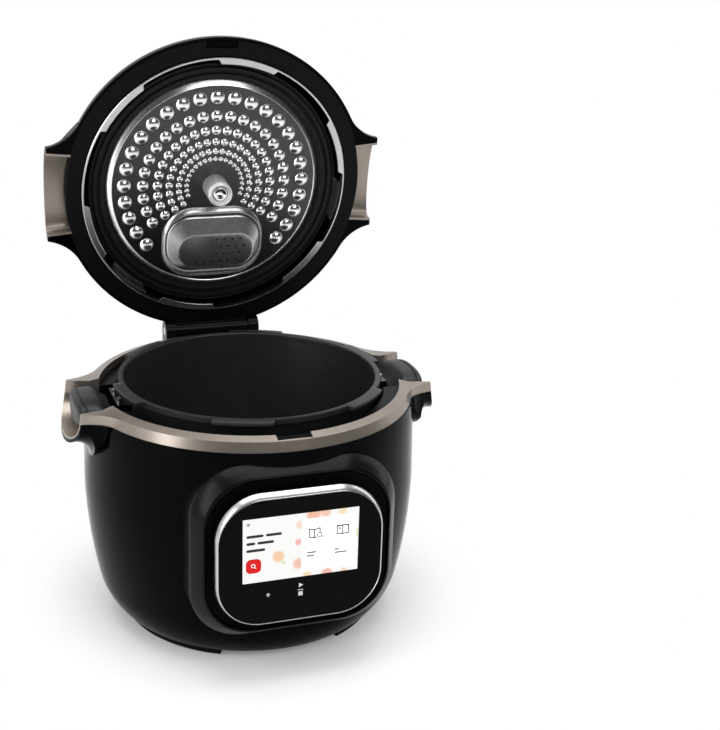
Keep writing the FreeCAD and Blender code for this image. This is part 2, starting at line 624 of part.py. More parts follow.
for spacer, (across, up) in zip(spacers, ((-1, -1), (-1, 1), (1, -1), (1, 1))):
    spacer.setExpression(".Placement.Base.x", bound(f"{across} * (rim_half - rim_corner)"))
    spacer.setExpression(".Placement.Base.y", bound("glass_set - panel_front + board_gap"))
    spacer_level = f"panel_centre + {up} * (rim_half_height - rim_corner / 2)"
    spacer.setExpression(".Placement.Base.z", bound(spacer_level))
    spacer.Placement.Rotation = FreeCAD.Rotation(V(1, 0, 0), 90)
node("control_board", fuse(board, *spacers))

# Power board on pillars, and the power inlet at the back
board_z = ("power_board_level", "power_board_level + board_thick")
power = box(("-power_board_half", "power_board_half"), ("-power_board_half", "power_board_half"), board_z)
pillars = []
pan_top = "foot_height + pan_thick"
pillar_edge = "(power_board_half - pillar_radius * 2)"
for across in ("-", ""):
    for along in ("-", ""):
        pillars.append(cylinder("pillar_radius", f"power_board_level - ({pan_top})", pan_top,
                                f"{across}{pillar_edge}", f"{along}{pillar_edge}"))
node("power_board", fuse(power, *pillars))

inlet_back = "haunch_radius + inlet_depth / 2"
inlet = box(("-inlet_half", "inlet_half"), ("haunch_radius - inlet_depth", inlet_back),
            ("inlet_level", "inlet_level + inlet_height"))
socket = box(("rail_thick - inlet_half", "inlet_half - rail_thick"),
             ("haunch_radius - inlet_depth / 2", f"{inlet_back} + cut_over"),
             ("inlet_level + rail_thick", "inlet_level + inlet_height - rail_thick"))
node("power_inlet", cut(inlet, socket))
pins = []
for across in (-1, 0, 1):
    pin = cylinder("inlet_pin_radius", "inlet_pin_length", "0")
    pin.setExpression(".Placement.Base.x", bound(f"{across} * inlet_pin_pitch"))
    pin.setExpression(".Placement.Base.y", bound("haunch_radius - inlet_depth / 2"))
    pin.setExpression(".Placement.Base.z", bound("inlet_level + inlet_height / 2"))
    pin.Placement.Rotation = FreeCAD.Rotation(V(1, 0, 0), -90)
    pins.append(pin)
node("inlet_pins", group(*pins))

# Hinge bracket on the shoulder, its pin, and the condensate cup below it
lugs = []
lug_inner, lug_outer = "barrel_half + hinge_side_gap", "barrel_half + hinge_side_gap + lug_thick"
for low, high in ((lug_inner, lug_outer), (f"-({lug_outer})", f"-({lug_inner})")):
    lugs.append(rod("lug_eye", low, high, "hinge_back", "hinge_level"))
    lugs.append(box((low, high), ("hinge_back - lug_eye", "hinge_back + lug_eye"),
                    ("hinge_level - bracket_drop", "hinge_level")))
bridge = box((f"-({lug_outer})", lug_outer), ("hinge_back - lug_eye", "hinge_back + lug_eye"),
             ("hinge_level - bracket_drop", "hinge_level - barrel_radius * 2"))
pin_hole = rod("pin_radius", f"-({lug_outer}) - cut_over", f"{lug_outer} + cut_over",
               "hinge_back", "hinge_level")
node("hinge_bracket", cut(fuse(bridge, *lugs), housing_clear, pin_hole))
node("hinge_pin", rod("pin_radius", f"-({lug_outer})", lug_outer, "hinge_back", "hinge_level"))

rail_y = "belly_radius + rail_thick"
rail = box(("cup_wall * 4 - cup_half", "cup_half - cup_wall * 4"), ("belly_radius - rail_thick * 3", rail_y),
           ("cup_top - rail_height", "cup_top"))
node("cup_rail", cut(rail, housing_clear))
cup_y = (f"{rail_y} + slide_gap", f"{rail_y} + slide_gap + cup_depth")
cup = box(("-cup_half", "cup_half"), cup_y, ("cup_top - cup_height", "cup_top"))
cup_room = box(("cup_wall - cup_half", "cup_half - cup_wall"),
               (f"{cup_y[0]} + cup_wall", f"{cup_y[1]} - cup_wall"),
               ("cup_top - cup_height + cup_wall", "cup_top + cut_over"))
node("condensate_cup", cut(cup, cup_room))

# Pot with a rolled bead and six lugs
pot_bead = [("bead_radius", "pot_rim - bead_height"), ("bead_radius", "pot_rim")]
pot_outer = [
    ("0", "pot_floor"), ("pot_foot_radius - pot_corner", "pot_floor"),
    ("pot_foot_radius", "pot_floor + pot_corner", "pot_corner", 1), ("pot_radius", "pot_rim - bead_height"),
]
pot_inner = [
    ("pot_radius - pot_wall", "pot_rim"), ("pot_radius - pot_wall", "pot_rim - bead_height"),
    ("pot_foot_radius - pot_wall", "pot_floor + pot_corner"),
    ("pot_foot_radius - pot_corner", "pot_floor + pot_wall", "pot_corner - pot_wall", -1),
    ("0", "pot_floor + pot_wall"),
]
bowl = turned(pot_outer + pot_bead + pot_inner)
pot_body = turned(pot_outer + [("pot_radius", "pot_rim"), ("0", "pot_rim")])
lug_ring = []
for index in range(LUGS):
    start = size("lug_turn - lug_angle / 2") + 360 / LUGS * index
    wedge = cylinder("lug_radius", "lug_height", "pot_rim - lug_height", sector="lug_angle", start=start)
    lug_ring.append(cut(wedge, cylinder("bead_radius - cut_over", "lug_height", "pot_rim - lug_height")))
node("pot", fuse(bowl, *lug_ring))

# Pot handles: a bracket, a moulded grip and two screws on each side
def on_side(side, low, high):
    """Pair of places along X on one side, low first."""
    return (low, high) if side > 0 else (f"-({high})", f"-({low})")


def grip_shape():
    """Grip of the right side: the side view and the end view of it crossed."""
    reach, root, half = size("grip_reach"), size("grip_root"), size("grip_half")
    top, low, belly = size("grip_top"), size("grip_low"), size("grip_low - grip_belly")
    neck, side_top = size("grip_top - neck_drop"), size("grip_top - grip_crown")
    step, foot = size("grip_reach - grip_head"), size("grip_reach - grip_head - grip_fillet")
    midway = V(size("grip_reach - grip_head - rise_in"), 0, size("grip_top - neck_drop + rise_up"))
    profile = [V(root, 0, neck), V(foot, 0, neck), V(step, 0, top)]
    profile += [V(reach, 0, top), V(reach, 0, belly), V(root, 0, belly)]
    edges = [Part.makeLine(profile[0], profile[1]), Part.Arc(profile[1], midway, profile[2]).toShape()]
    edges += [Part.makeLine(start, end) for start, end in zip(profile[2:], profile[3:] + profile[:1])]
    side_view = Part.Face(Part.Wire(edges)).extrude(V(0, 2 * half, 0)).translate(V(0, -half, 0))
    end_view = Part.Wire([
        Part.Arc(V(0, -half, side_top), V(0, 0, top), V(0, half, side_top)).toShape(),
        Part.makeLine(V(0, half, side_top), V(0, half, low)),
        Part.Arc(V(0, half, low), V(0, 0, belly), V(0, -half, low)).toShape(),
        Part.makeLine(V(0, -half, low), V(0, -half, side_top)),
    ])
    grip = side_view.common(Part.Face(end_view).extrude(V(reach, 0, 0)))
    return grip.common(Part.makeCylinder(reach, top))


pot_screws = []
for name, side in SIDES.items():
    bracket = box(on_side(side, "pot_foot_radius", "grip_root"), ("-bracket_half", "bracket_half"),
                  ("grip_low", "grip_low + bracket_height"))
    node(f"pot_{name}_bracket", cut(bracket, pot_body))
    grip = grip_shape() if side > 0 else grip_shape().mirror(V(0, 0, 0), V(1, 0, 0))
    node(f"pot_{name}_grip", drawn(f"Grip{name.title()}", grip))
    for along in SIDES.values():
        pot_screws.append(cylinder("screw_radius", "screw_length", "grip_low + bracket_height",
                                   f"{side} * (pot_radius + screw_radius * 2)", f"{along} * bracket_half / 2"))
node("grip_screws", group(*pot_screws))

# Lid dome: an ellipsoid shell with an ear shell on each side and a hole for the lock shaft
lid_base, dome_height = size("lid_base"), size("dome_height")
lid_reach = size("ear_radius - lid_ear_set")
lid_ends = Part.makeBox(2 * lid_reach, 2 * lid_reach, dome_height, V(-lid_reach, -lid_reach, lid_base))
lid_plan = ear_plan(size("lid_radius"), lid_base, lid_base + dome_height, lid_ends)
hinge_room = Part.makeBox(2 * hinge_half, size("lug_eye * 4"), size("lug_eye + hinge_clearance") * 2,
                          V(-hinge_half, hinge_front, size("hinge_level - lug_eye - hinge_clearance")))
dome, dome_room = dome_solid(0), dome_solid(size("dome_wall"))
lid_ears = []
lid_rooms = []
for side in SIDES.values():
    lid_ears.append(lid_plan.common(lid_outside(side)).cut(dome))
    room = lid_channel(side, even_wall(size("scoop_wall")))
    lid_rooms.append(room.cut(Part.makeCylinder(size("lid_scoop_start"), 2 * lid_base)))
shaft_hole = Part.makeCylinder(size("shaft_radius + slide_gap"), 2 * dome_height, V(0, 0, lid_base))
lid_shape = dome.fuse(lid_ears).cut(dome_room).cut(Part.makeCompound(lid_rooms)).cut([shaft_hole, hinge_room])
node("lid_dome", drawn("LidDome", lid_shape.removeSplitter()), lid=True)

# Taupe scoops under the lid's ears
for (name, side), room in zip(SIDES.items(), lid_rooms):
    scoop = room.common(lid_ends).cut(lid_channel(side, even_wall(0)))
    node(f"lid_{name}_scoop", drawn(f"LidScoop{name.title()}", scoop), lid=True)

# Frame that closes the dome's underside round the well
frame_plate = ring_between(size("lid_radius"), size("well_radius"), lid_base, size("lid_base + frame_thick"))
well_outer = size("well_radius + well_wall")
well_ring = ring_between(well_outer, size("well_radius"), lid_base, size("lid_base + well_depth"))
frame_shape = frame_plate.fuse(well_ring).common(dome_room).cut(Part.makeCompound(lid_rooms))
recess_corner = V(-size("notch_half"), -size("lid_radius - dome_wall"), lid_base)
hook_recess = Part.makeBox(size("notch_half * 2"), size("notch_width"), size("notch_depth"), recess_corner)
node("lid_frame", drawn("LidFrame", frame_shape.cut([hook_recess, hinge_room]).removeSplitter()), lid=True)
hook = box(("fit_gap - notch_half", "notch_half - fit_gap"),
           ("fit_gap * 4 - lid_radius + dome_wall", "notch_width - fit_gap - lid_radius + dome_wall"),
           ("lid_base + notch_depth / 2", "lid_base + notch_depth"))
node("lid_hook", group(hook), lid=True)

# Hinge knuckle at the back of the lid
dome_block = drawn("DomeBlock", dome.cut(hinge_room))
barrel = rod("barrel_radius", "-barrel_half", "barrel_half", "hinge_back", "hinge_level")
arm = box(("-barrel_half", "barrel_half"), ("lid_radius - barrel_half", "hinge_back"),
          ("hinge_level - hinge_above_ring + lid_gap", "hinge_level + arm_height"))
knuckle_hole = rod("pin_radius + running_gap", "-barrel_half - cut_over", "barrel_half + cut_over",
                   "hinge_back", "hinge_level")
node("hinge_knuckle", cut(fuse(barrel, arm), dome_block, knuckle_hole), lid=True)

# Carrier with the centre post and three bosses up to the dome
carrier = turned([
    ("0", "disc_level - post_reach"), ("post_radius", "disc_level - post_reach"),
    ("post_radius", "carrier_level"), ("carrier_radius", "carrier_level"),
    ("carrier_radius", "carrier_level + carrier_thick"),
    ("0", "carrier_level + carrier_thick"),
])
bosses = []
for index in range(SPOKES):
    angle = math.radians(size("boss_turn") + 360 / SPOKES * index)
    across, along = size("boss_circle") * math.cos(angle), size("boss_circle") * math.sin(angle)
    boss_foot = V(across, along, size("carrier_level + carrier_thick / 2"))
    boss = Part.makeCylinder(size("boss_radius"), size("dome_height"), boss_foot)
    bosses.append(drawn("Boss", boss.common(dome_room)))
valve_holes = []
for way in ("-", ""):
    valve_holes.append(cylinder("seat_radius + fit_gap", "carrier_thick * 3", "carrier_level - carrier_thick",
                                f"{way}ball_offset", "cover_centre"))
node("lid_carrier", cut(fuse(carrier, *bosses), *valve_holes), lid=True)

# Metal inner lid, clamped on the post, and the seal round it
node("metal_lid", turned([
    ("post_radius + fit_gap", "disc_level"), ("disc_radius - disc_bead", "disc_level"),
    ("disc_radius - disc_bead", "disc_level - disc_bead / 2"), ("disc_radius", "disc_level - disc_bead / 2"),
    ("disc_radius", "carrier_level"), ("disc_radius - disc_thick", "carrier_level"),
    ("disc_radius - disc_thick", "disc_level + disc_thick"),
    ("post_radius + fit_gap", "disc_level + disc_thick"),
]), lid=True)
node("lid_gasket", turned([
    ("disc_radius + fit_gap", "pot_rim + gasket_gap"), ("gasket_radius", "pot_rim + gasket_gap"),
    ("gasket_radius", "carrier_level - fit_gap"), ("disc_radius + fit_gap", "carrier_level - fit_gap"),
]), lid=True)
node("lid_nut", turned([
    ("post_radius + running_gap", "disc_level - fit_gap"), ("nut_radius", "disc_level - fit_gap"),
    ("nut_radius", "disc_level - nut_length + nut_taper"), ("nut_tip", "disc_level - nut_length"),
    ("post_radius + running_gap", "disc_level - nut_length"),
]), lid=True)

# Valve cover: an oval cup under the inner lid
def cover_outline(inset):
    """Oval outline of the valve cover, drawn in by an inset."""
    return rounded(f"cover_half_length - ({inset})", f"cover_centre - cover_half_width + {inset}",
                   f"cover_centre + cover_half_width - ({inset})", f"cover_corner - ({inset})")


cover_low = "disc_level - cover_gap - cover_height"
cover = padded("XY_Plane", cover_outline("0"), cover_low, "cover_height")
cover_room = padded("XY_Plane", cover_outline("cover_wall"), f"{cover_low} + cover_wall", "cover_height")
node("valve_cover", cut(cover, cover_room), lid=True)

# Ball valve and safety valve on the inner lid, behind the cover
seat_z = "disc_level + disc_thick"
for label, way in (("ball_seat", "-"), ("safety_seat", "")):
    outer = cylinder("seat_radius", "seat_height", seat_z, f"{way}ball_offset", "cover_centre")
    bore = cylinder("seat_bore", "seat_height", f"{seat_z} + seat_lip", f"{way}ball_offset", "cover_centre")
    throat = cylinder("seat_lip", "seat_height", f"{seat_z} - cut_over", f"{way}ball_offset", "cover_centre")
    node(label, cut(outer, bore, throat), lid=True)
ball = doc.addObject("Part::Sphere", "Ball")
ball_rise = "sqrt(ball_radius * ball_radius - seat_lip * seat_lip) + gasket_gap"
bind(ball, {"Radius": "ball_radius"}, ("-ball_offset", "cover_centre", f"{seat_z} + seat_lip + {ball_rise}"))
node("pressure_ball", group(ball), lid=True)
stem = cylinder("valve_stem", "valve_length", f"{seat_z} + seat_lip + gasket_gap",
                "ball_offset", "cover_centre")
node("safety_valve", group(stem), lid=True)

# Jaw ring with six teeth, its drive and the turning handle on top
jaws = [tube("jaw_radius", "jaw_inner", "jaw_low", "jaw_low + jaw_height")]
for index in range(LUGS):
    start = size("lug_turn - tooth_angle / 2") + 360 / LUGS * (index - 0.5)
    tooth = cylinder("jaw_inner + jaw_wall / 2", "tooth_height", "jaw_low", sector="tooth_angle", start=start)
    jaws.append(cut(tooth, cylinder("tooth_inner", "tooth_height", "jaw_low")))
node("jaw_ring", fuse(*jaws), lid=True)

drive = [tube("hub_radius", "hub_bore", "drive_level", "drive_level + drive_thick")]
for index in range(SPOKES):
    start = size("spoke_turn - spoke_angle / 2") + 360 / SPOKES * index
    spoke = cylinder("jaw_radius", "drive_thick", "drive_level", sector="spoke_angle", start=start)
    drive.append(cut(spoke, cylinder("hub_radius - cut_over", "drive_thick", "drive_level")))
    leg = cylinder("jaw_radius", "drive_level + drive_thick - jaw_low - jaw_height", "jaw_low + jaw_height",
                   sector="spoke_angle", start=start)
    drive.append(cut(leg, cylinder("jaw_inner", "drive_level", "jaw_low + jaw_height")))
node("lock_drive", fuse(*drive), lid=True)

knob = turned([
    ("0", "drive_level + drive_thick"), ("shaft_radius", "drive_level + drive_thick"),
    ("shaft_radius", "knob_level"), ("knob_radius", "knob_level"),
    ("knob_radius", "knob_level + knob_height / 2"),
    ("knob_radius - knob_height / 2", "knob_level + knob_height", "knob_height / 2", 1),
    ("0", "knob_level + knob_height"),
])
bar = padded("XY_Plane", rounded("bar_half", "-bar_width / 2", "bar_width / 2", "bar_round"),
             "knob_level", "bar_height")
node("lock_handle", fuse(knob, bar), lid=True)

# Steam vent at the back of the dome
vent = cylinder("vent_radius", "vent_level + vent_height - lid_base", "lid_base", "0", "vent_back")
vent_slot = box(("-vent_slot_half", "vent_slot_half"), ("vent_back - slot_half", "vent_back + slot_half"),
                ("dome_top - vent_height", "dome_top + dome_height"))
node("steam_vent", cut(vent, dome_block, vent_slot), lid=True)

doc.recompute()
for thing in doc.Objects:
    if "Invalid" in thing.State or "Error" in thing.State:
        raise RuntimeError(f"{thing.Name} ({thing.Label}) failed: {thing.State}")
for thing in NODES:
    if thing.Shape.isNull() or not thing.Shape.isValid() or not thing.Shape.Solids:
        raise RuntimeError(f"{thing.Label} has no valid solid")
os.makedirs("parts", exist_ok=True)
for thing in NODES:
    thing.Shape.exportStep(f"parts/{thing.Label}.step")
    print(thing.Label, len(thing.Shape.Solids), round(thing.Shape.Volume))
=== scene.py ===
"""Looks of an electric pressure cooker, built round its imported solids.  Metres, +Z up, front at -Y."""
import json
import math

import bmesh
import bpy
from mathutils import Matrix, Vector
from mathutils.geometry import delaunay_2d_cdt


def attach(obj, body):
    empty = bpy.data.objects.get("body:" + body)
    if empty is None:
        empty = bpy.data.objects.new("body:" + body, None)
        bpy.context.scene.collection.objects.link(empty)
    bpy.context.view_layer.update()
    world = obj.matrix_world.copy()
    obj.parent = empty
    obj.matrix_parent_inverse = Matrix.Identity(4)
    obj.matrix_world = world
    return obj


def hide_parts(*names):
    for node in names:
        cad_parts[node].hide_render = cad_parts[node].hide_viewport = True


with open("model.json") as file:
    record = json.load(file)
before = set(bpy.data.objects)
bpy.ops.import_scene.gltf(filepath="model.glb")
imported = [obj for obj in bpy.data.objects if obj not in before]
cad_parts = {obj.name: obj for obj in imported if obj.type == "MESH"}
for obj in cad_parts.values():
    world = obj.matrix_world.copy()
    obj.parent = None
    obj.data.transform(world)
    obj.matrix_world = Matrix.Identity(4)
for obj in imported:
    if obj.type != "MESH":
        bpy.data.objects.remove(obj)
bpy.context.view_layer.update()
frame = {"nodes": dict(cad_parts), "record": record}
nodes = frame["nodes"]
scene = bpy.context.scene
scene.view_settings.view_transform = "Standard"

# Shapes are drawn in mm; those of the lid are drawn closed, then turned open about the hinge
MM = 0.001
HINGE = Vector((0, 0.1594, 0.235))
LID_OPEN = math.radians(80.5)
LID = Matrix.Translation(HINGE) @ Matrix.Rotation(-LID_OPEN, 4, "X") @ Matrix.Translation(-HINGE)

# Reach of merging: of points in metres, of flat points in mm
MERGE_REACH = 1e-7
WELD_REACH = 2e-6
FLAT_REACH = 1e-6
ON_AXIS = 1e-6

# Rounded edges of the solids
BEVEL_STEPS = 3
BEVEL_ANGLE = math.radians(35)

# Display and glass: the height of the display's middle, and where the faces stand
SCREEN_LEVEL = 138.0
GLASS_FRONT = -174.0
GLASS_BACK = -172.0
PRINT_BACK = -173.95

# Camera: place and aim in metres, lens and sensor in mm
CAMERA_AZIMUTH = math.radians(-20.17)
CAMERA_ELEVATION = math.radians(19.40)
CAMERA_ROLL = math.radians(1.92)
CAMERA_AIM = Vector((0.0998, -0.0367, 0.2509))
CAMERA_DISTANCE = 1.3377
CAMERA_LENS = 68.24
CAMERA_SENSOR = 36


def aim_camera():
    level = math.cos(CAMERA_ELEVATION)
    across = Vector((math.cos(CAMERA_AZIMUTH), math.sin(CAMERA_AZIMUTH), 0))
    east, south = math.sin(CAMERA_AZIMUTH), -math.cos(CAMERA_AZIMUTH)
    back = Vector((east * level, south * level, math.sin(CAMERA_ELEVATION)))
    above = back.cross(across)
    right = math.cos(CAMERA_ROLL) * across + math.sin(CAMERA_ROLL) * above
    up = math.cos(CAMERA_ROLL) * above - math.sin(CAMERA_ROLL) * across
    camera = bpy.data.objects.new("camera", bpy.data.cameras.new("camera"))
    camera.data.lens = CAMERA_LENS
    camera.data.sensor_width = CAMERA_SENSOR
    axes = Matrix((right, up, back)).transposed()
    camera.matrix_world = Matrix.Translation(CAMERA_AIM + back * CAMERA_DISTANCE) @ axes.to_4x4()
    scene.collection.objects.link(camera)
    scene.camera = camera


aim_camera()


# Shader helpers
def link(tree, start, end):
    tree.links.new(start, end)


def add(tree, kind, **values):
    """New shader node; each value sets the input of that name, or else the property."""
    node = tree.nodes.new(kind)
    for name, value in values.items():
        if name in node.inputs:
            node.inputs[name].default_value = value
        else:
            setattr(node, name, value)
    return node


def ranged(tree, source, start, end, low=0.0, high=1.0, smooth=True):
    """Output of a node, mapped so that start gives low and end gives high."""
    node = add(tree, "ShaderNodeMapRange", interpolation_type="SMOOTHSTEP" if smooth else "LINEAR")
    for name, value in (("From Min", start), ("From Max", end), ("To Min", low), ("To Max", high)):
        node.inputs[name].default_value = value
    link(tree, source, node.inputs["Value"])
    return node.outputs[0]


def calculated(tree, operation, *values):
    """Arithmetic on outputs of nodes and on plain numbers."""
    node = add(tree, "ShaderNodeMath", operation=operation)
    for socket, value in zip(node.inputs, values):
        if isinstance(value, float):
            socket.default_value = value
        else:
            link(tree, value, socket)
    return node.outputs[0]


def mixed(tree, share, first, second):
    """Two shaders, the second in the given share."""
    node = add(tree, "ShaderNodeMixShader")
    link(tree, share, node.inputs["Fac"])
    link(tree, first, node.inputs[1])
    link(tree, second, node.inputs[2])
    return node.outputs[0]


def new_material(name, settings):
    """Material, its tree and its main shader with some inputs set."""
    material = bpy.data.materials.new(name)
    material.use_nodes = True
    shader = material.node_tree.nodes["Principled BSDF"]
    for socket, value in settings.items():
        shader.inputs[socket].default_value = value
    return material, material.node_tree, shader


# Studio: soft boxes, a white surround and a pale floor, in metres
WHITE = (1, 1, 1, 1)
FLOOR_HALF = 6
SHADOW_START = 0.12
SHADOW_END = 0.27
SHADOW_LEAST_GLOW = 0.15
SOFT_STRENGTH = 0.45
MIRRORED_LEAN = -0.3
MIRRORED_FRONT = -0.75
MIRRORED_BACK = 0.35
MIRRORED_LEAST = 0.03


def lamp(name, place, target, size, power):
    light = bpy.data.lights.new(name, "AREA")
    light.shape = "RECTANGLE"
    light.size, light.size_y = size
    light.energy = power
    thing = bpy.data.objects.new(name, light)
    thing.location = place
    thing.rotation_euler = (Vector(target) - Vector(place)).to_track_quat("-Z", "Y").to_euler()
    scene.collection.objects.link(thing)


def make_world():
    """White to the camera, dimmer to scattered light, and dark in front where it is mirrored."""
    world = bpy.data.worlds.new("studio")
    scene.world = world
    world.use_nodes = True
    tree = world.node_tree
    tree.nodes.clear()
    path = add(tree, "ShaderNodeLightPath")
    white = add(tree, "ShaderNodeBackground", Color=WHITE, Strength=1.0)
    soft = add(tree, "ShaderNodeBackground", Color=WHITE, Strength=SOFT_STRENGTH)
    mirrored = add(tree, "ShaderNodeBackground", Color=WHITE)
    coords = add(tree, "ShaderNodeTexCoord")
    split = add(tree, "ShaderNodeSeparateXYZ")
    link(tree, coords.outputs["Generated"], split.inputs[0])
    side = calculated(tree, "MULTIPLY_ADD", split.outputs["X"], MIRRORED_LEAN, split.outputs["Y"])
    strength = ranged(tree, side, MIRRORED_FRONT, MIRRORED_BACK, MIRRORED_LEAST)
    link(tree, strength, mirrored.inputs["Strength"])
    glossy, through = path.outputs["Is Glossy Ray"], path.outputs["Is Transmission Ray"]
    is_mirrored = calculated(tree, "MAXIMUM", glossy, through)
    unseen = mixed(tree, is_mirrored, soft.outputs[0], mirrored.outputs[0])
    shown = mixed(tree, path.outputs["Is Camera Ray"], unseen, white.outputs[0])
    output = add(tree, "ShaderNodeOutputWorld")
    link(tree, shown, output.inputs["Surface"])


def make_floor():
    """Floor that keeps the shadow close to the cooker and turns white further out."""
    corners = [(-1, -1), (1, -1), (1, 1), (-1, 1)]
    mesh = bpy.data.meshes.new("floor")
    mesh.from_pydata([(x * FLOOR_HALF, y * FLOOR_HALF, 0) for x, y in corners], [], [(0, 1, 2, 3)])
    floor = bpy.data.objects.new("floor", mesh)
    scene.collection.objects.link(floor)
    material, tree, shader = new_material("floor", {
        "Base Color": (0.95, 0.95, 0.95, 1), "Roughness": 0.7, "Specular IOR Level": 0.1,
    })
    glow = add(tree, "ShaderNodeEmission", Color=WHITE, Strength=1.0)
    path = add(tree, "ShaderNodeLightPath")
    place = add(tree, "ShaderNodeNewGeometry")
    reach = add(tree, "ShaderNodeVectorMath", operation="LENGTH")
    link(tree, place.outputs["Position"], reach.inputs[0])
    fade = ranged(tree, reach.outputs["Value"], SHADOW_START, SHADOW_END, SHADOW_LEAST_GLOW)
    share = calculated(tree, "MULTIPLY", fade, path.outputs["Is Camera Ray"])
    shown = mixed(tree, share, shader.outputs[0], glow.outputs[0])
    link(tree, shown, tree.nodes["Material Output"].inputs["Surface"])
    mesh.materials.append(material)


lamp("left_box", (-1.3, -0.5, 0.75), (0, 0, 0.25), (0.35, 1.3), 9)
lamp("right_box", (1.35, 0.1, 0.75), (0, 0, 0.25), (0.3, 1.3), 2.5)
lamp("front_box", (0.5, -1.7, 1.5), (0, 0.1, 0.4), (1.2, 0.8), 12)
lamp("top_box", (0.0, 0.1, 2.2), (0, 0, 0.2), (2.0, 1.6), 36)
make_world()
make_floor()

# Materials: depths of the grain in metres
GRAIN_DEPTH = 0.00004
FINE = 0.00002
LEAST_ROUGH = 0.02
COAT_ROUGH = 0.08
TONE_STOPS = (0.3, 0.7)


def finish(name, colour, rough, spread=0.04, metal=0.0, specular=0.5, tone=0.08, mottle=70.0,
           grain=1500.0, bump=0.15, depth=GRAIN_DEPTH, coat=0.0):
    """Surface with mottled colour, uneven gloss and a fine grain."""
    material, tree, shader = new_material(name, {
        "Metallic": metal, "Specular IOR Level": specular,
        "Coat Weight": coat, "Coat Roughness": COAT_ROUGH,
    })
    coords = add(tree, "ShaderNodeTexCoord")
    cloud = add(tree, "ShaderNodeTexNoise", Scale=mottle, Detail=4.0)
    link(tree, coords.outputs["Object"], cloud.inputs["Vector"])
    ramp = add(tree, "ShaderNodeValToRGB")
    for stop, place, share in zip(ramp.color_ramp.elements, TONE_STOPS, (1 - tone, 1 + tone)):
        stop.position = place
        stop.color = (*[part * share for part in colour], 1)
    link(tree, cloud.outputs["Fac"], ramp.inputs["Fac"])
    link(tree, ramp.outputs["Color"], shader.inputs["Base Color"])
    speck = add(tree, "ShaderNodeTexNoise", Scale=grain, Detail=3.0)
    link(tree, coords.outputs["Object"], speck.inputs["Vector"])
    least = max(LEAST_ROUGH, rough - spread)
    gloss = ranged(tree, speck.outputs["Fac"], 0.0, 1.0, least, rough + spread, smooth=False)
    link(tree, gloss, shader.inputs["Roughness"])
    relief = add(tree, "ShaderNodeBump", Strength=bump, Distance=depth)
    link(tree, speck.outputs["Fac"], relief.inputs["Height"])
    link(tree, relief.outputs["Normal"], shader.inputs["Normal"])
    return material


# Soft spots on the display: place from its middle, reach and colour
SCREEN_SPOTS = [
    ((-1.5, 20.0), 5.0, (0.95, 0.72, 0.60)), ((-3.0, 3.5), 4.2, (0.93, 0.50, 0.46)),
    ((-21.0, -8.0), 6.4, (0.95, 0.62, 0.40)), ((-2.5, -17.5), 6.2, (0.92, 0.58, 0.44)),
    ((11.0, 28.5), 7.5, (0.93, 0.52, 0.36)), ((22.0, 29.5), 6.0, (0.95, 0.60, 0.44)),
    ((38.0, 29.0), 5.0, (0.96, 0.78, 0.52)), ((6.0, -30.0), 5.0, (0.96, 0.74, 0.48)),
    ((24.0, -30.0), 5.5, (0.93, 0.50, 0.40)), ((40.0, -30.5), 4.0, (0.95, 0.66, 0.55)),
    ((52.5, 6.0), 5.0, (0.82, 0.86, 0.62)), ((-16.0, -14.5), 2.6, (0.72, 0.80, 0.48)),
]
SPOT_RAGGED = 0.0022
SPOT_OUTER = 1.25
SPOT_INNER = 0.75
SCREEN_WHITE = (0.98, 0.975, 0.965, 1)


def lit_screen():
    """Bright display with soft warm shapes, drawn by place on the glass."""
    material, tree, shader = new_material("screen", {
        "Base Color": (0.02, 0.02, 0.02, 1), "Roughness": 0.12,
        "Specular IOR Level": 0.3, "Emission Strength": 0.93,
    })
    coords = add(tree, "ShaderNodeTexCoord")
    grain = add(tree, "ShaderNodeTexNoise", Scale=240.0, Detail=2.0)
    link(tree, coords.outputs["Object"], grain.inputs["Vector"])
    colour = None
    for (x, z), reach, tint in SCREEN_SPOTS:
        away = add(tree, "ShaderNodeVectorMath", operation="DISTANCE")
        link(tree, coords.outputs["Object"], away.inputs[0])
        away.inputs[1].default_value = Vector((x, GLASS_FRONT, SCREEN_LEVEL + z)) * MM
        edge = calculated(tree, "MULTIPLY_ADD", grain.outputs["Fac"], SPOT_RAGGED, away.outputs["Value"])
        share = ranged(tree, edge, reach * MM * SPOT_OUTER, reach * MM * SPOT_INNER)
        mix = add(tree, "ShaderNodeMix", data_type="RGBA")
        link(tree, share, mix.inputs["Factor"])
        if colour is None:
            mix.inputs[6].default_value = SCREEN_WHITE
        else:
            link(tree, colour, mix.inputs[6])
        mix.inputs[7].default_value = (*tint, 1)
        colour = mix.outputs[2]
    link(tree, colour, shader.inputs["Emission Color"])
    return material


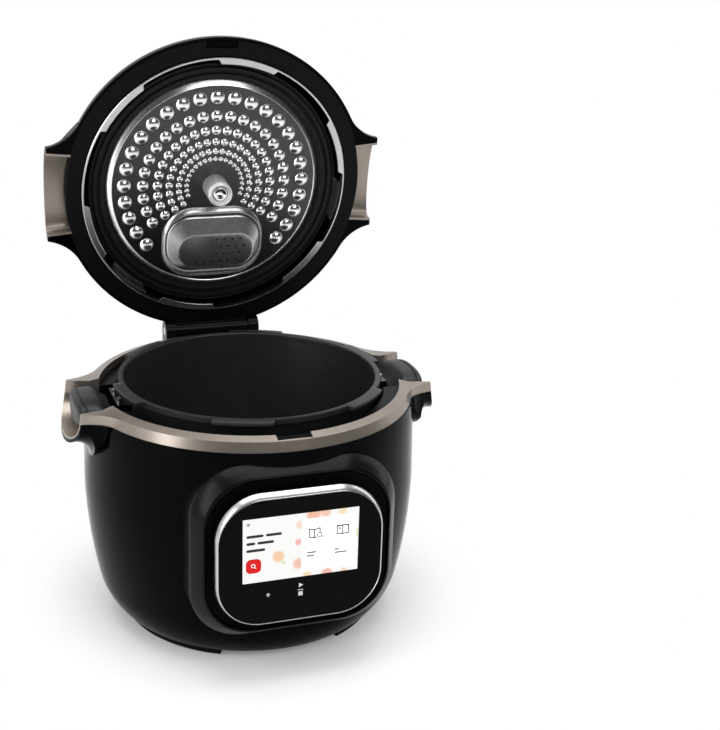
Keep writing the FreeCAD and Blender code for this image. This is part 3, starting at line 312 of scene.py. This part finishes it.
# Looks by the record's material slots
LOOK = {
    "gloss_black": finish("gloss_black", (0.0006, 0.0006, 0.0007), 0.11, 0.03, specular=0.03, grain=90.0,
                          bump=0.05, depth=FINE),
    "satin_black": finish("satin_black", (0.0026, 0.0026, 0.0028), 0.42, 0.08, specular=0.08, grain=2600.0,
                          bump=0.25),
    "taupe_trim": finish("taupe_trim", (0.27, 0.234, 0.203), 0.33, 0.07, metal=0.82, tone=0.05, grain=3800.0,
                         bump=0.12, depth=FINE, coat=0.06),
    "grip_black": finish("grip_black", (0.0055, 0.0055, 0.0058), 0.42, 0.08, specular=0.3, grain=2200.0,
                         bump=0.35),
    "seal_black": finish("seal_black", (0.004, 0.004, 0.004), 0.48, 0.08, specular=0.2, grain=1800.0,
                         bump=0.2),
    "pot_coating": finish("pot_coating", (0.020, 0.020, 0.021), 0.40, 0.06, metal=0.35, tone=0.12,
                          grain=3200.0, bump=0.2),
    "bright_steel": finish("bright_steel", (0.62, 0.62, 0.62), 0.18, 0.06, metal=1.0, tone=0.05, grain=2400.0,
                           bump=0.08),
    "chrome": finish("chrome", (0.78, 0.78, 0.79), 0.07, 0.02, metal=1.0, tone=0.03, grain=700.0, bump=0.03),
    "cast_alloy": finish("cast_alloy", (0.42, 0.42, 0.42), 0.45, 0.08, metal=1.0, tone=0.1, grain=1400.0,
                         bump=0.4),
    "element_steel": finish("element_steel", (0.26, 0.25, 0.24), 0.5, 0.1, metal=1.0, tone=0.15, grain=900.0),
    "dark_glass": finish("dark_glass", (0.0026, 0.0026, 0.0028), 0.05, 0.015, specular=0.03, tone=0.04,
                         grain=60.0, bump=0.0),
    "board_green": finish("board_green", (0.03, 0.15, 0.06), 0.4, 0.1, tone=0.2, grain=800.0),
    "brass": finish("brass", (0.6, 0.45, 0.18), 0.3, 0.08, metal=1.0, tone=0.08),
    "cup_clear": finish("cup_clear", (0.012, 0.012, 0.013), 0.16, 0.05, grain=400.0, bump=0.08),
    "screen": lit_screen(),
}

# Looks of single pieces
POD = finish("pod_black", (0.0020, 0.0020, 0.0021), 0.26, 0.05, specular=0.1, grain=900.0, bump=0.05,
             depth=FINE)
# Painted shade: an unreflecting near-black put in recesses and under parts (the pod's gutter, the rim's seat,
# the cover's pits, the lid hook), so that they read as shadow
SHADE_BLACK = finish("painted_shade_black", (0.0012, 0.0012, 0.0012), 0.50, 0.05, specular=0.03, grain=1500.0)
JAW_METAL = finish("jaw_metal", (0.46, 0.46, 0.46), 0.24, 0.05, metal=1.0, tone=0.05, grain=2400.0, bump=0.08)
# Painted light on the inner lid's one steel sheet: a darkened copy of the steel for its flats (painted shade)
# and a bright copy for its beads and rim (painted highlight)
SHADED_STEEL = finish("steel_painted_shade", (0.062, 0.062, 0.064), 0.30, 0.04, metal=1.0, tone=0.06, mottle=120.0,
                   grain=2600.0, bump=0.05, depth=FINE)
LIT_STEEL = finish("steel_painted_highlight", (0.80, 0.80, 0.80), 0.22, 0.05, metal=1.0, tone=0.05, mottle=160.0,
                    grain=2600.0, bump=0.05, depth=FINE)
NUT_METAL = finish("nut_metal", (0.90, 0.90, 0.90), 0.50, 0.05, metal=1.0, tone=0.04, mottle=200.0,
                   grain=3000.0, bump=0.05, depth=FINE)
COVER_METAL = finish("cover_metal", (0.42, 0.42, 0.42), 0.27, 0.05, metal=1.0, tone=0.05, mottle=90.0,
                     grain=3000.0, bump=0.06, depth=FINE)
INK_WHITE = finish("ink_white", (0.62, 0.62, 0.62), 0.4, 0.05, tone=0.03)
INK_DARK = finish("ink_dark", (0.03, 0.03, 0.034), 0.4, 0.05, specular=0.1, tone=0.05)
INK_GREY = finish("ink_grey", (0.22, 0.22, 0.23), 0.4, 0.05, specular=0.1, tone=0.05)
INK_RED = finish("ink_red", (0.66, 0.012, 0.014), 0.35, 0.05, specular=0.08, tone=0.06)
CARD_WHITE = finish("card_white", (0.9, 0.9, 0.9), 0.4, 0.05, tone=0.01)
CARD_GLOW = 0.75
card_shader = CARD_WHITE.node_tree.nodes["Principled BSDF"]
card_shader.inputs["Emission Color"].default_value = WHITE
card_shader.inputs["Emission Strength"].default_value = CARD_GLOW


# Mesh helpers, all in mm
def polar(radius, angle, x=0.0, y=0.0):
    """Point at a radius and angle from (x, y)."""
    return x + radius * math.cos(angle), y + radius * math.sin(angle)


def circle(steps):
    """Angles of evenly spaced points round a circle."""
    return [2 * math.pi * step / steps for step in range(steps)]


def ease(share):
    """Smooth step from 0 to 1, held at both ends."""
    share = min(1.0, max(0.0, share))
    return share * share * (3 - 2 * share)


def fillet(points, steps=6, closed=True):
    """Outline of (across, up, radius) points with each corner turned into an arc."""
    outline = []
    last = len(points) - 1
    for index, (x, y, radius) in enumerate(points):
        here = Vector((x, y))
        if radius <= 0 or (not closed and index in (0, last)):
            outline.append((x, y))
            continue
        before = (Vector(points[index - 1][:2]) - here).normalized()
        after = (Vector(points[(index + 1) % len(points)][:2]) - here).normalized()
        half = before.angle(after) / 2
        centre = here + (before + after).normalized() * (radius / math.sin(half))
        start = here + before * (radius / math.tan(half)) - centre
        end = here + after * (radius / math.tan(half)) - centre
        first = math.atan2(start.y, start.x)
        sweep = (math.atan2(end.y, end.x) - first + math.pi) % (2 * math.pi) - math.pi
        for step in range(steps + 1):
            outline.append(polar(radius, first + sweep * step / steps, centre.x, centre.y))
    return outline


def round_rect(half, half_up, corner, steps=12):
    """Rounded rectangle about the origin as (across, up) points."""
    corners = [(half, -half_up), (half, half_up), (-half, half_up), (-half, -half_up)]
    return fillet([(x, y, corner) for x, y in corners], steps)


def loft(loops, closed=False, caps=True):
    """Skin over loops of equal length; the first and last are capped unless it closes on itself."""
    count = len(loops[0])
    points = [tuple(point) for loop in loops for point in loop]
    faces = []
    rows = len(loops)
    for row in range(rows if closed else rows - 1):
        low, high = row * count, (row + 1) % rows * count
        for step in range(count):
            after = (step + 1) % count
            faces.append((low + step, low + after, high + after, high + step))
    if caps and not closed:
        faces.append(tuple(range(count)))
        faces.append(tuple(range((rows - 1) * count, rows * count)))
    return points, faces


def lathe(outline, segments=192, closed=True, radius_at=None):
    """Outline of (radius, height) turned about Z; points on the axis become one point."""
    points, faces, rings = [], [], []
    for radius, height in outline:
        if radius < ON_AXIS:
            rings.append([len(points)])
            points.append((0, 0, height))
            continue
        rings.append(list(range(len(points), len(points) + segments)))
        for angle in circle(segments):
            here = radius_at(radius, angle) if radius_at else radius
            points.append((*polar(here, angle), height))
    for low, high in zip(rings, rings[1:] + (rings[:1] if closed else [])):
        if len(low) == 1 and len(high) == 1:
            continue
        for step in range(segments):
            after = (step + 1) % segments
            if len(low) == 1:
                faces.append((low[0], high[after], high[step]))
            elif len(high) == 1:
                faces.append((low[step], low[after], high[0]))
            else:
                faces.append((low[step], low[after], high[after], high[step]))
    return points, faces


def join(*parts):
    """Several meshes as one."""
    points, faces = [], []
    for some_points, some_faces in parts:
        start = len(points)
        points += some_points
        faces += [tuple(start + corner for corner in face) for face in some_faces]
    return points, faces


def middle_of(places, cell):
    """Middle of a flat cell."""
    return sum((places[corner] for corner in cell), Vector((0, 0))) / len(cell)


def piece(name, shape, body, material, replaces=(), lid=False, sharp=40.0):
    """New object of the cooker from points in mm, riding on a body."""
    mesh = bpy.data.meshes.new(name)
    points, faces = shape
    mesh.from_pydata([Vector(point) * MM for point in points], [], faces)
    work = bmesh.new()
    work.from_mesh(mesh)
    bmesh.ops.remove_doubles(work, verts=work.verts, dist=MERGE_REACH)
    bmesh.ops.recalc_face_normals(work, faces=work.faces)
    work.to_mesh(mesh)
    work.free()
    mesh.shade_smooth()
    mesh.set_sharp_from_angle(angle=math.radians(sharp))
    mesh.materials.append(material)
    thing = bpy.data.objects.new(name, mesh)
    if lid:
        thing.matrix_world = LID
    scene.collection.objects.link(thing)
    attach(thing, body)
    if replaces:
        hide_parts(*replaces)
    return thing


def round_edges(thing, width):
    mesh = thing.data
    for attribute in ("custom_normal", "sharp_edge", "sharp_face"):
        if attribute in mesh.attributes:
            mesh.attributes.remove(mesh.attributes[attribute])
    mesh.shade_smooth()
    weld = thing.modifiers.new("weld", "WELD")
    weld.merge_threshold = WELD_REACH
    bevel = thing.modifiers.new("bevel", "BEVEL")
    bevel.width = width * MM
    bevel.segments = BEVEL_STEPS
    bevel.limit_method = "ANGLE"
    bevel.angle_limit = BEVEL_ANGLE
    bevel.harden_normals = True
    bevel.use_clamp_overlap = True


def soften(width, *names):
    """Solids kept as they are, with their edges rounded."""
    for name in names:
        round_edges(nodes[name], width)


# Solids: each takes the look of its slot, and a few a look of their own
for part in frame["record"]["subparts"]:
    mesh = nodes[part["node"]].data
    mesh.materials.clear()
    mesh.materials.append(LOOK[part["material_slot"]])
# The pot's brackets take the darkened steel copy, painted shade
for name in ("pot_left_bracket", "pot_right_bracket"):
    nodes[name].data.materials[0] = SHADED_STEEL
for name in ("lock_handle", "steam_vent", "hinge_bracket", "hinge_knuckle", "cup_rail"):
    nodes[name].data.materials[0] = POD
# The lid hook takes the unreflecting black, painted shade
nodes["lid_hook"].data.materials[0] = SHADE_BLACK

# Six teeth on the jaw ring pass between six lugs on the pot's rim, in degrees
TOOTH_PITCH = 60.0


def off_tooth(angle, turn):
    """Degrees from the middle of the nearest tooth; one of them stands at turn."""
    half = TOOTH_PITCH / 2
    return abs((math.degrees(angle) - turn + half) % TOOTH_PITCH - half)


# Pot: a spun bowl whose rim carries the lugs
POT_RIM = 126.5
POT_SEGMENTS = 360
LUG_TURN = 12.0
LUG_HALF = 13.0


def pot():
    outline = fillet([
        (0, 100, 0), (114, 100, 16), (123, 234, 0.8), (POT_RIM, 234, 0.8), (POT_RIM, 236, 0.4),
        (133, 236, 0.9), (133, 240, 0.9), (121, 240, 1.6), (121, 234, 3), (112, 102, 14), (0, 102, 0),
    ], 5, closed=False)

    def lugged(radius, angle):
        if radius <= POT_RIM + 0.1:
            return radius
        share = min(1.0, max(0.0, LUG_HALF - off_tooth(angle, LUG_TURN)))
        return POT_RIM + (radius - POT_RIM) * share

    shape = lathe(outline, POT_SEGMENTS, False, lugged)
    piece("pot_bowl", shape, "pot", LOOK["pot_coating"], ["pot"], sharp=50)


pot()

# Pot handles: moulded grips with a groove round the outer end
GRIP_LOW = 206.2
GRIP_TOP = 222
GRIP_RISE = 10.4
GRIP_RISE_START = 137.5
GRIP_RISE_LENGTH = 16.0
GRIP_HALF = 31.5
GRIP_WIDENING = 2.9
GRIP_WIDENING_START = 136
GRIP_WIDENING_LENGTH = 18
GRIP_BEND = 172
GRIP_SQUARE_TOP = 2 / 3.0
GRIP_SQUARE_LOW = 2 / 2.5
GRIP_SIDES = 56

# Sections of a grip: place across the cooker, and how far the outline is drawn in
GRIP_SECTIONS = [
    (136.6, 1.6), (137.4, 0.5), *[(x, 0.0) for x in range(139, 164, 2)], (164.2, 0.0), (164.5, 0.25),
    (164.7, 1.0), (165.5, 1.0), (165.7, 0.25), (166, 0.0), (168, 0.1), (169.8, 0.7), (171.0, 2.0),
    (171.7, 4.0), (171.9, 6.5),
]


def grip(side):
    name = "right" if side > 0 else "left"

    def section(x, inset):
        top = GRIP_TOP + GRIP_RISE * ease((x - GRIP_RISE_START) / GRIP_RISE_LENGTH)
        widening = min(1.0, (x - GRIP_WIDENING_START) / GRIP_WIDENING_LENGTH)
        half = GRIP_HALF + GRIP_WIDENING * widening - inset
        half_up = (top - GRIP_LOW) / 2 - inset
        loop = []
        for turn in circle(GRIP_SIDES):
            across, up = polar(1.0, turn)
            square = GRIP_SQUARE_TOP if up > 0 else GRIP_SQUARE_LOW
            y = half * math.copysign(abs(across) ** square, across)
            z = (top + GRIP_LOW) / 2 + half_up * math.copysign(abs(up) ** square, up)
            bend = GRIP_BEND - math.sqrt(GRIP_BEND ** 2 - y ** 2)
            loop.append((side * (x - bend), y, z))
        return loop

    shape = loft([section(*place) for place in GRIP_SECTIONS])
    piece(f"grip_{name}", shape, "pot", LOOK["grip_black"], [f"pot_{name}_grip"], sharp=55)


grip(-1)
grip(1)

# Metal inner lid: rows of pressed beads, as the row's radius, a bead's reach, and beads to each side
BEAD_ROWS = [(93, 7.0, 12), (74, 5.7, 11), (59, 4.7, 11), (47, 3.7, 11), (37, 3.0, 11), (29, 2.25, 10)]
BEAD_MIDDLE = 270
BEAD_STEP = 11
BEAD_RISE = 0.46
BEAD_BALL = (1 + BEAD_RISE ** 2) / (2 * BEAD_RISE)
BEAD_RINGS = (0.3, 0.55, 0.75, 0.9, 1.0, 1.1)
BEAD_SIDES = 22
SMALL_BEAD = 4
SMALL_BEAD_SIDES = 16
DISC_LEVEL = 243.4
DISC_INNER = 8.2
DISC_INNER_STEPS = 40
DISC_OUTER = 105.2
DISC_OUTER_STEPS = 192
DISC_SHEET = 0.8


def metal_lid():
    flat = [(*polar(DISC_INNER, turn), 0.0) for turn in circle(DISC_INNER_STEPS)]
    flat += [(*polar(DISC_OUTER, turn), 0.0) for turn in circle(DISC_OUTER_STEPS)]
    for radius, reach, half_count in BEAD_ROWS:
        sides = SMALL_BEAD_SIDES if reach < SMALL_BEAD else BEAD_SIDES
        for number in range(-half_count, half_count + 1):
            x, y = polar(radius, math.radians(BEAD_MIDDLE + BEAD_STEP * number))
            for share in BEAD_RINGS:
                height = math.sqrt(BEAD_BALL ** 2 - min(share, 1.0) ** 2) - BEAD_BALL + BEAD_RISE
                drop = reach * max(0.0, height)
                flat += [(*polar(share * reach, turn, x, y), -drop) for turn in circle(sides)]
            flat.append((x, y, -reach * BEAD_RISE))
    spots = [Vector(point[:2]) for point in flat]
    places, _, cells, sources, _, _ = delaunay_2d_cdt(spots, [], [], 0, FLAT_REACH)
    points = [(*place, DISC_LEVEL + flat[source[0]][2]) for place, source in zip(places, sources)]
    faces = [tuple(cell) for cell in cells if middle_of(places, cell).length > DISC_INNER * 0.98]
    disc = piece("bead_disc", (points, faces), "lid", SHADED_STEEL, ["metal_lid"], lid=True,
                 sharp=38)
    # Beads take the bright copy of the steel and the flats the dark one: painted highlight on the beads,
    # painted shade on the flats
    disc.data.materials.append(LIT_STEEL)
    for cell in disc.data.polygons:
        raised = cell.center.z < (DISC_LEVEL - 0.01) * MM
        cell.material_index = int(raised)
        cell.use_smooth = raised
    sheet = disc.modifiers.new("sheet", "SOLIDIFY")
    sheet.thickness = DISC_SHEET * MM
    sheet.offset = -1
    rim = fillet([
        (105.0, 243.6, 0), (DISC_OUTER, 242.0, 0.4), (105.8, 241.6, 0.4), (110.95, 245.0, 0.3),
        (111, 250.2, 0.3), (109.8, 250.2, 0.3), (109.6, 245.8, 0.3), (106.0, 244.4, 0.3), (105.0, 244.4, 0),
    ], 5)
    # The rolled rim takes the bright steel copy, painted highlight
    piece("disc_rim", lathe(rim), "lid", LIT_STEEL, ["metal_lid"], lid=True)


metal_lid()


# Seal: two soft ridges round the inner lid
def seal():
    outline = fillet([
        (111.4, 250, 0), (111.4, 244.0, 0.4), (113.2, 244.0, 0.4), (114.0, 240.9, 0.9), (117.4, 240.9, 0.9),
        (118.2, 243.6, 0.5), (119.8, 243.6, 0.5), (120.6, 240.6, 0.9), (124.2, 240.6, 0.9),
        (125.0, 243.4, 0.5), (126.2, 243.4, 0.5), (126.6, 241.6, 0.5), (128.4, 241.6, 0.7), (128.4, 250, 0),
    ], 4)
    piece("seal_rings", lathe(outline), "lid", LOOK["seal_black"], ["lid_gasket"], lid=True)


seal()

# Jaw ring: a thin steel band with the teeth
JAW_INNER = 134.4
JAW_REACH = 4.8
JAW_TURN = -18.0
JAW_HALF = 13.5
JAW_SLOPE = 1.6
JAW_STEPS = 720


def jaws():
    loops = []
    for turn in circle(JAW_STEPS):
        tip = JAW_INNER - JAW_REACH * ease((JAW_HALF - off_tooth(turn, JAW_TURN)) / JAW_SLOPE)
        outline = [
            (136.3, 239.9), (136.3, 232.6), (135.7, 232.05), (min(134.5, tip + 0.5), 232.05), (tip, 232.5),
            (tip, 235.1), (min(134.45, tip + 0.4), 235.55), (134.5, 235.6), (134.6, 239.9),
        ]
        loops.append([(*polar(radius, turn), z) for radius, z in outline])
    shape = loft(loops, closed=True)
    piece("jaw_band", shape, "lock", JAW_METAL, ["jaw_ring"], lid=True, sharp=30)


jaws()

# Clamp nut with a ringed hollow tip, and the end of the post in it
NUT_SEGMENTS = 96
TIP_SEGMENTS = 64


def nut():
    outline = fillet([
        (8.06, 243.1, 0), (12.4, 243.1, 0.4), (12.3, 219.4, 0.3), (11.9, 218.9, 0.2), (11.9, 218.3, 0.2),
        (12.2, 217.8, 0.3), (12.0, 215.5, 1.1), (10.2, 215.5, 0.6), (9.6, 218.6, 0.5), (8.06, 218.8, 0.2),
    ], 5)
    piece("nut_chrome", lathe(outline, NUT_SEGMENTS), "clamp_nut", NUT_METAL, ["lid_nut"], lid=True)
    tip = fillet([
        (0, 217.4, 0), (2.4, 217.4, 0.4), (3.0, 218.2, 0.3), (4.6, 217.6, 0.6), (6.8, 217.2, 0.9),
        (7.6, 218.8, 0.3), (7.6, 219.6, 0), (0, 219.6, 0),
    ], 3, closed=False)
    piece("post_tip", lathe(tip, TIP_SEGMENTS, False), "lid", LOOK["chrome"], lid=True)


nut()

# Valve cover: a stepped oval cap of satin sheet with a pitted face standing for a pierced one; the pits'
# insides are painted shade
COVER_MIDDLE = 62
COVER_CORNER_STEPS = 14
FACE_LEVEL = 232.85
FACE_RIGHT = 2.0
PIT_RADIUS = 1.0
PIT_DEPTH = 1.0
PIT_SIDES = 12
PIT_PITCH = 8.4
PIT_ROW_PITCH = 8.0
PIT_FIRST_ROW = 56
PIT_ROWS = 4
PIT_COLUMNS = 4
PIT_FIELD_HALF = 33
PIT_FIELD_TAPER = 3

# Steps of the cap: half width, half length, corner, level, and the shift right and back
COVER_LINING = [
    (38.0, 17.0, 15.6, 234.4, FACE_RIGHT, 6.0), (48.0, 28.2, 24.4, 240.3), (50.0, 32.6, 27.6, 240.7),
    (52.4, 37.2, 31.2, 243.1),
]
COVER_FOOT = [
    (53.4, 38.4, 32.4, 243.1), (53.8, 38.8, 32.8, 242.6), (53.6, 38.5, 32.5, 242.0),
    (51.0, 33.6, 28.6, 239.2), (50.6, 32.8, 27.8, 239.0), (50.3, 31.4, 26.8, 239.05),
    (49.8, 30.4, 26.2, 239.6), (49.2, 29.6, 25.6, 239.6),
]
COVER_BROW = (48.8, 29.1, 25.2, 239.0, 0.0, 0.0)
COVER_EDGE = (39.6, 18.6, 17.2, 233.3, FACE_RIGHT, 5.6)
COVER_FACE = [(39.0, 18.0, 16.6, 233.0, FACE_RIGHT, 5.8), (38.2, 17.2, 15.8, FACE_LEVEL, FACE_RIGHT, 6.0)]
COVER_SLOPE = (0.1, 0.25, 0.45, 0.65, 0.82, 0.94)


def pit_spots():
    """Places of the pits: rows in turn half a pitch apart, most of them on the right."""
    spots = []
    for row in range(PIT_ROWS):
        half = PIT_FIELD_HALF - PIT_FIELD_TAPER * abs(row - (PIT_ROWS - 1) / 2)
        for column in range(-PIT_COLUMNS, PIT_COLUMNS + 1):
            x = (column + row % 2 / 2) * PIT_PITCH + FACE_RIGHT
            if (x > 0 or row == PIT_ROWS - 1) and abs(x - FACE_RIGHT) < half:
                spots.append(Vector((x, PIT_FIRST_ROW + row * PIT_ROW_PITCH)))
    return spots


def valve_cover():
    def oval(half, half_up, corner, z, right=0.0, back=0.0):
        outline = round_rect(half, half_up, corner, COVER_CORNER_STEPS)
        return [(x + right, COVER_MIDDLE + y + back, z) for x, y in outline]

    def pit_ring(spot):
        return [polar(PIT_RADIUS, turn, spot.x, spot.y) for turn in circle(PIT_SIDES)]

    slope = []
    for share in COVER_SLOPE:
        pairs = zip(COVER_BROW, COVER_EDGE)
        slope.append(tuple(start + (end - start) * share for start, end in pairs))
    steps = COVER_LINING + COVER_FOOT + [COVER_BROW] + slope + [COVER_EDGE] + COVER_FACE
    loops = [oval(*step) for step in steps]
    skin = loft(loops, caps=False)
    lining = loops[0], [tuple(range(len(loops[0])))]
    pits = pit_spots()
    flat, edges = [], []
    for ring in [[point[:2] for point in loops[-1]]] + [pit_ring(spot) for spot in pits]:
        first, count = len(flat), len(ring)
        flat += [Vector(point) for point in ring]
        edges += [(first + step, first + (step + 1) % count) for step in range(count)]
    places, _, cells, _, _, _ = delaunay_2d_cdt(flat, edges, [], 0, FLAT_REACH)
    keep = []
    for cell in cells:
        middle = middle_of(places, cell)
        if all((middle - spot).length > PIT_RADIUS for spot in pits):
            keep.append(tuple(cell))
    face = [(*place, FACE_LEVEL) for place in places], keep
    cups = []
    for spot in pits:
        wall = [[(x, y, z) for x, y in pit_ring(spot)] for z in (FACE_LEVEL + PIT_DEPTH, FACE_LEVEL)]
        points, faces = loft(wall, caps=False)
        cups.append((points, faces + [tuple(range(PIT_SIDES))]))
    shape = join(skin, lining, face, *cups)
    cap = piece("cover_cap", shape, "valve_cover", COVER_METAL, ["valve_cover"], lid=True, sharp=40)
    # Walls and floors of the pits take the unreflecting black: painted shade
    cap.data.materials.append(SHADE_BLACK)
    for cell in cap.data.polygons:
        middle = cell.center / MM
        near = any((middle.xy - spot).length < PIT_RADIUS * 1.01 for spot in pits)
        cell.material_index = int(near and 0.1 < middle.z - FACE_LEVEL < PIT_DEPTH + 0.1)


valve_cover()

# Control panel: sizes of the pod, the bright rim and the display
POD_LEVEL = 128
POD_HALF = 78.8
POD_HALF_UP = 67
POD_CORNER = 44
POD_CORNER_GROWTH = 0.36
RIM_LEVEL = 126.7
RIM_HALF = 77.9
RIM_HALF_UP = 63.9
RIM_CORNER = 43
SCREEN_HALF = 53.5
SCREEN_HALF_UP = 31.1
SCREEN_CORNER = 0.3
CORNER_STEPS = 16

# Sections of the pod: margin and depth
POD_SHOULDER = [
    (16.9, -118), (16.9, -140), (16.9, -150.5), (16.7, -152.0), (16.2, -153.4), (12.0, -159.6), (8.8, -164.3),
    (8.2, -165.1), (7.5, -165.6), (6.8, -165.85), (6.2, -165.3), (5.8, -162.0), (5.6, -118),
]
POD_GUTTER = [(5.5, -130), (5.5, -163.0), (5.0, -162.7), (0.0, -162.4), (-5.4, -162.4), (-5.4, -130)]

# Sections of the rim: inset, depth, and how far the top is lowered
RIM_SEAT = [(0.4, -162.0), (0.4, -168.5), (2.6, -168.5), (2.6, -162.0)]
RIM_BAND = [
    (0.3, -168.4), (0.0, -168.8), (0.05, -169.3, 0.05), (1.7, -174.4, 1.0), (2.1, -174.8, 1.1),
    (2.5, -174.85, 1.1), (2.8, -174.5, 1.1), (2.8, -172.0, 1.1), (2.4, -168.4, 0.6),
]
GLASS_EDGE = [(2.85, GLASS_BACK, 1.1), (2.85, -173.75, 1.1), (3.1, GLASS_FRONT, 1.1)]


def panel():
    def pod_ring(margin, y):
        corner = POD_CORNER + (POD_CORNER_GROWTH * margin if margin > 0 else margin)
        outline = round_rect(POD_HALF + margin, POD_HALF_UP + margin, corner, CORNER_STEPS)
        return [(x, y, POD_LEVEL + z) for x, z in outline]

    def rim_ring(inset, y, low=0.0):
        outline = round_rect(RIM_HALF - inset, RIM_HALF_UP - inset - low, RIM_CORNER - inset, CORNER_STEPS)
        return [(x, y, RIM_LEVEL - low + z) for x, z in outline]

    def window_ring(y):
        outline = round_rect(SCREEN_HALF, SCREEN_HALF_UP, SCREEN_CORNER, CORNER_STEPS)
        return [(x, y, SCREEN_LEVEL + z) for x, z in outline]

    def layer(name, loops, material, node, sharp=40):
        piece(name, loft(loops, closed=True), "base", material, [node], sharp=sharp)

    shoulder = [pod_ring(*step) for step in POD_SHOULDER]
    layer("pod_shell", shoulder, POD, "panel_pod", sharp=55)
    # The gutter and the rim's seat take the unreflecting black: painted shade in the recess
    gutter = [pod_ring(*step) for step in POD_GUTTER]
    layer("pod_gutter", gutter, SHADE_BLACK, "panel_pod")
    seat = [rim_ring(*step) for step in RIM_SEAT]
    layer("rim_seat", seat, SHADE_BLACK, "panel_rim")
    band = [rim_ring(*step) for step in RIM_BAND]
    layer("rim_chrome", band, JAW_METAL, "panel_rim")
    sheet = [rim_ring(*step) for step in GLASS_EDGE] + [window_ring(GLASS_FRONT), window_ring(GLASS_BACK)]
    layer("glass_sheet", sheet, LOOK["dark_glass"], "panel_glass", sharp=30)


panel()


# What the display shows, and the printed touch marks, all drawn from the display's middle
def shifted(outline, x, z):
    return [(x + u, z + v) for u, v in outline]


def bar(x, z, length, height):
    """Bar with round ends, from the middle of its left end."""
    corner = height / 2 * 0.98
    return shifted(round_rect(length / 2, height / 2, corner, 4), x + length / 2, z)


def arc(x, z, radius, start, end, steps=12):
    """Points round (x, z), between two angles in degrees."""
    sweep = end - start
    return [polar(radius, math.radians(start + sweep * step / steps), x, z) for step in range(steps + 1)]


def stroke(points, width, closed=False):
    """Outlines of a line with round ends, one for each stretch."""
    ends = points[1:] + points[:1] if closed else points[1:]
    outlines = []
    for start, end in zip(points, ends):
        start, end = Vector(start), Vector(end)
        along = math.atan2(end.y - start.y, end.x - start.x)
        loop = []
        for spot, first in ((end, along - math.pi / 2), (start, along + math.pi / 2)):
            loop += [polar(width / 2, first + math.pi * step / 8, spot.x, spot.y) for step in range(9)]
        outlines.append(loop)
    return outlines


def marks(name, outlines, proud, material):
    """Flat plates that stand a little proud of the glass."""
    plates = []
    for outline in outlines:
        depths = (GLASS_FRONT - proud, PRINT_BACK)
        plates.append(loft([[(x, y, SCREEN_LEVEL + z) for x, z in outline] for y in depths]))
    piece(name, join(*plates), "base", material, sharp=30)


WORD_HEIGHT = 2.6
WORDS = [(-50.2, 14.2, 15.5), (-32.6, 14.2, 14.5), (-50.2, 7.4, 8.0), (-40.2, 7.4, 15.0), (-50.2, 0.6, 17.0)]
LABEL_HEIGHT = 1.7
LABELS = [(5.0, -8.2, 9.0), (5.0, -11.4, 7.4), (31.0, -8.2, 4.6), (31.0, -11.4, 12.0)]
ICON_LINE = 1.15
TOUCH_LINE = 0.9


def screen_art():
    cards = [shifted(round_rect(12.2, 25.4, 2.2, 6), x, -0.6) for x in (12.6, 38.2)]
    marks("screen_cards", cards, 0.04, CARD_WHITE)
    words = [bar(*word, WORD_HEIGHT) for word in WORDS]
    for radius in (1.2, 2.3):
        words += stroke(arc(-48.6, 24.6, radius, 45, 135), 0.6)
    words.append(arc(-48.6, 24.8, 0.5, 0, 330))
    marks("screen_words", words, 0.05, INK_DARK)
    button = shifted(round_rect(6.9, 6.9, 4.4, 8), -43.6, -14.6)
    marks("screen_button", [button], 0.05, INK_RED)
    lens = stroke(arc(-44.0, -14.2, 1.7, 0, 345, 20), 0.3, True)
    lens += stroke([(-42.8, -15.4), (-41.4, -16.8)], 0.4)
    marks("screen_lens", lens, 0.09, CARD_WHITE)
    book = stroke([(7.0, 7.0), (7.0, 15.0), (12.0, 13.6), (12.0, 5.6)], ICON_LINE, True)
    book += stroke([(12.0, 13.6), (17.0, 15.0), (17.0, 11.5)], ICON_LINE)
    book += stroke([(12.0, 5.6), (14.2, 6.2)], ICON_LINE)
    book += stroke(arc(16.8, 8.4, 2.1, 0, 345, 18), 0.9, True)
    book += stroke([(18.3, 6.9), (20.0, 5.2)], 0.95)
    album = stroke([(33.0, 6.6), (33.0, 14.8), (43.6, 14.8), (43.6, 6.6)], ICON_LINE, True)
    album += stroke([(38.3, 14.8), (38.3, 6.6)], ICON_LINE)
    album += stroke([(34.6, 14.6), (34.6, 11.4), (35.6, 12.2), (36.6, 11.4), (36.6, 14.6)], 0.8)
    marks("screen_icons", book + album, 0.07, INK_DARK)
    labels = [bar(*label, LABEL_HEIGHT) for label in LABELS]
    marks("screen_labels", labels, 0.06, INK_GREY)
    touch = stroke([(-28.6, -44.8), (-31.4, -44.8), (-29.9, -43.3)], TOUCH_LINE)
    touch += stroke([(-31.4, -44.8), (-29.9, -46.3)], TOUCH_LINE)
    touch.append([(-1.6, -41.6), (2.4, -39.3), (-1.6, -37.0)])
    touch.append(bar(-2.6, -44.0, 5.2, 0.7))
    touch.append(shifted(round_rect(2.0, 2.0, 0.3, 2), 0, -47.8))
    marks("touch_marks", touch, 0.04, INK_WHITE)


screen_art()

# Solids that keep their shape, with rounded edges in mm
soften(0.9, "trim_ring")
soften(0.4, "lid_left_scoop", "lid_right_scoop")
soften(0.8, "housing", "lid_dome")
soften(0.5, "lid_frame", "deck", "hinge_bracket", "hinge_knuckle", "cup_rail", "power_inlet", "lid_hook",
       "latch_catch")
soften(0.7, "condensate_cup")
soften(0.25, "display")
soften(1.6, "lock_handle", "steam_vent")
soften(1.0, "foot_front_left", "foot_front_right", "foot_rear_left", "foot_rear_right")
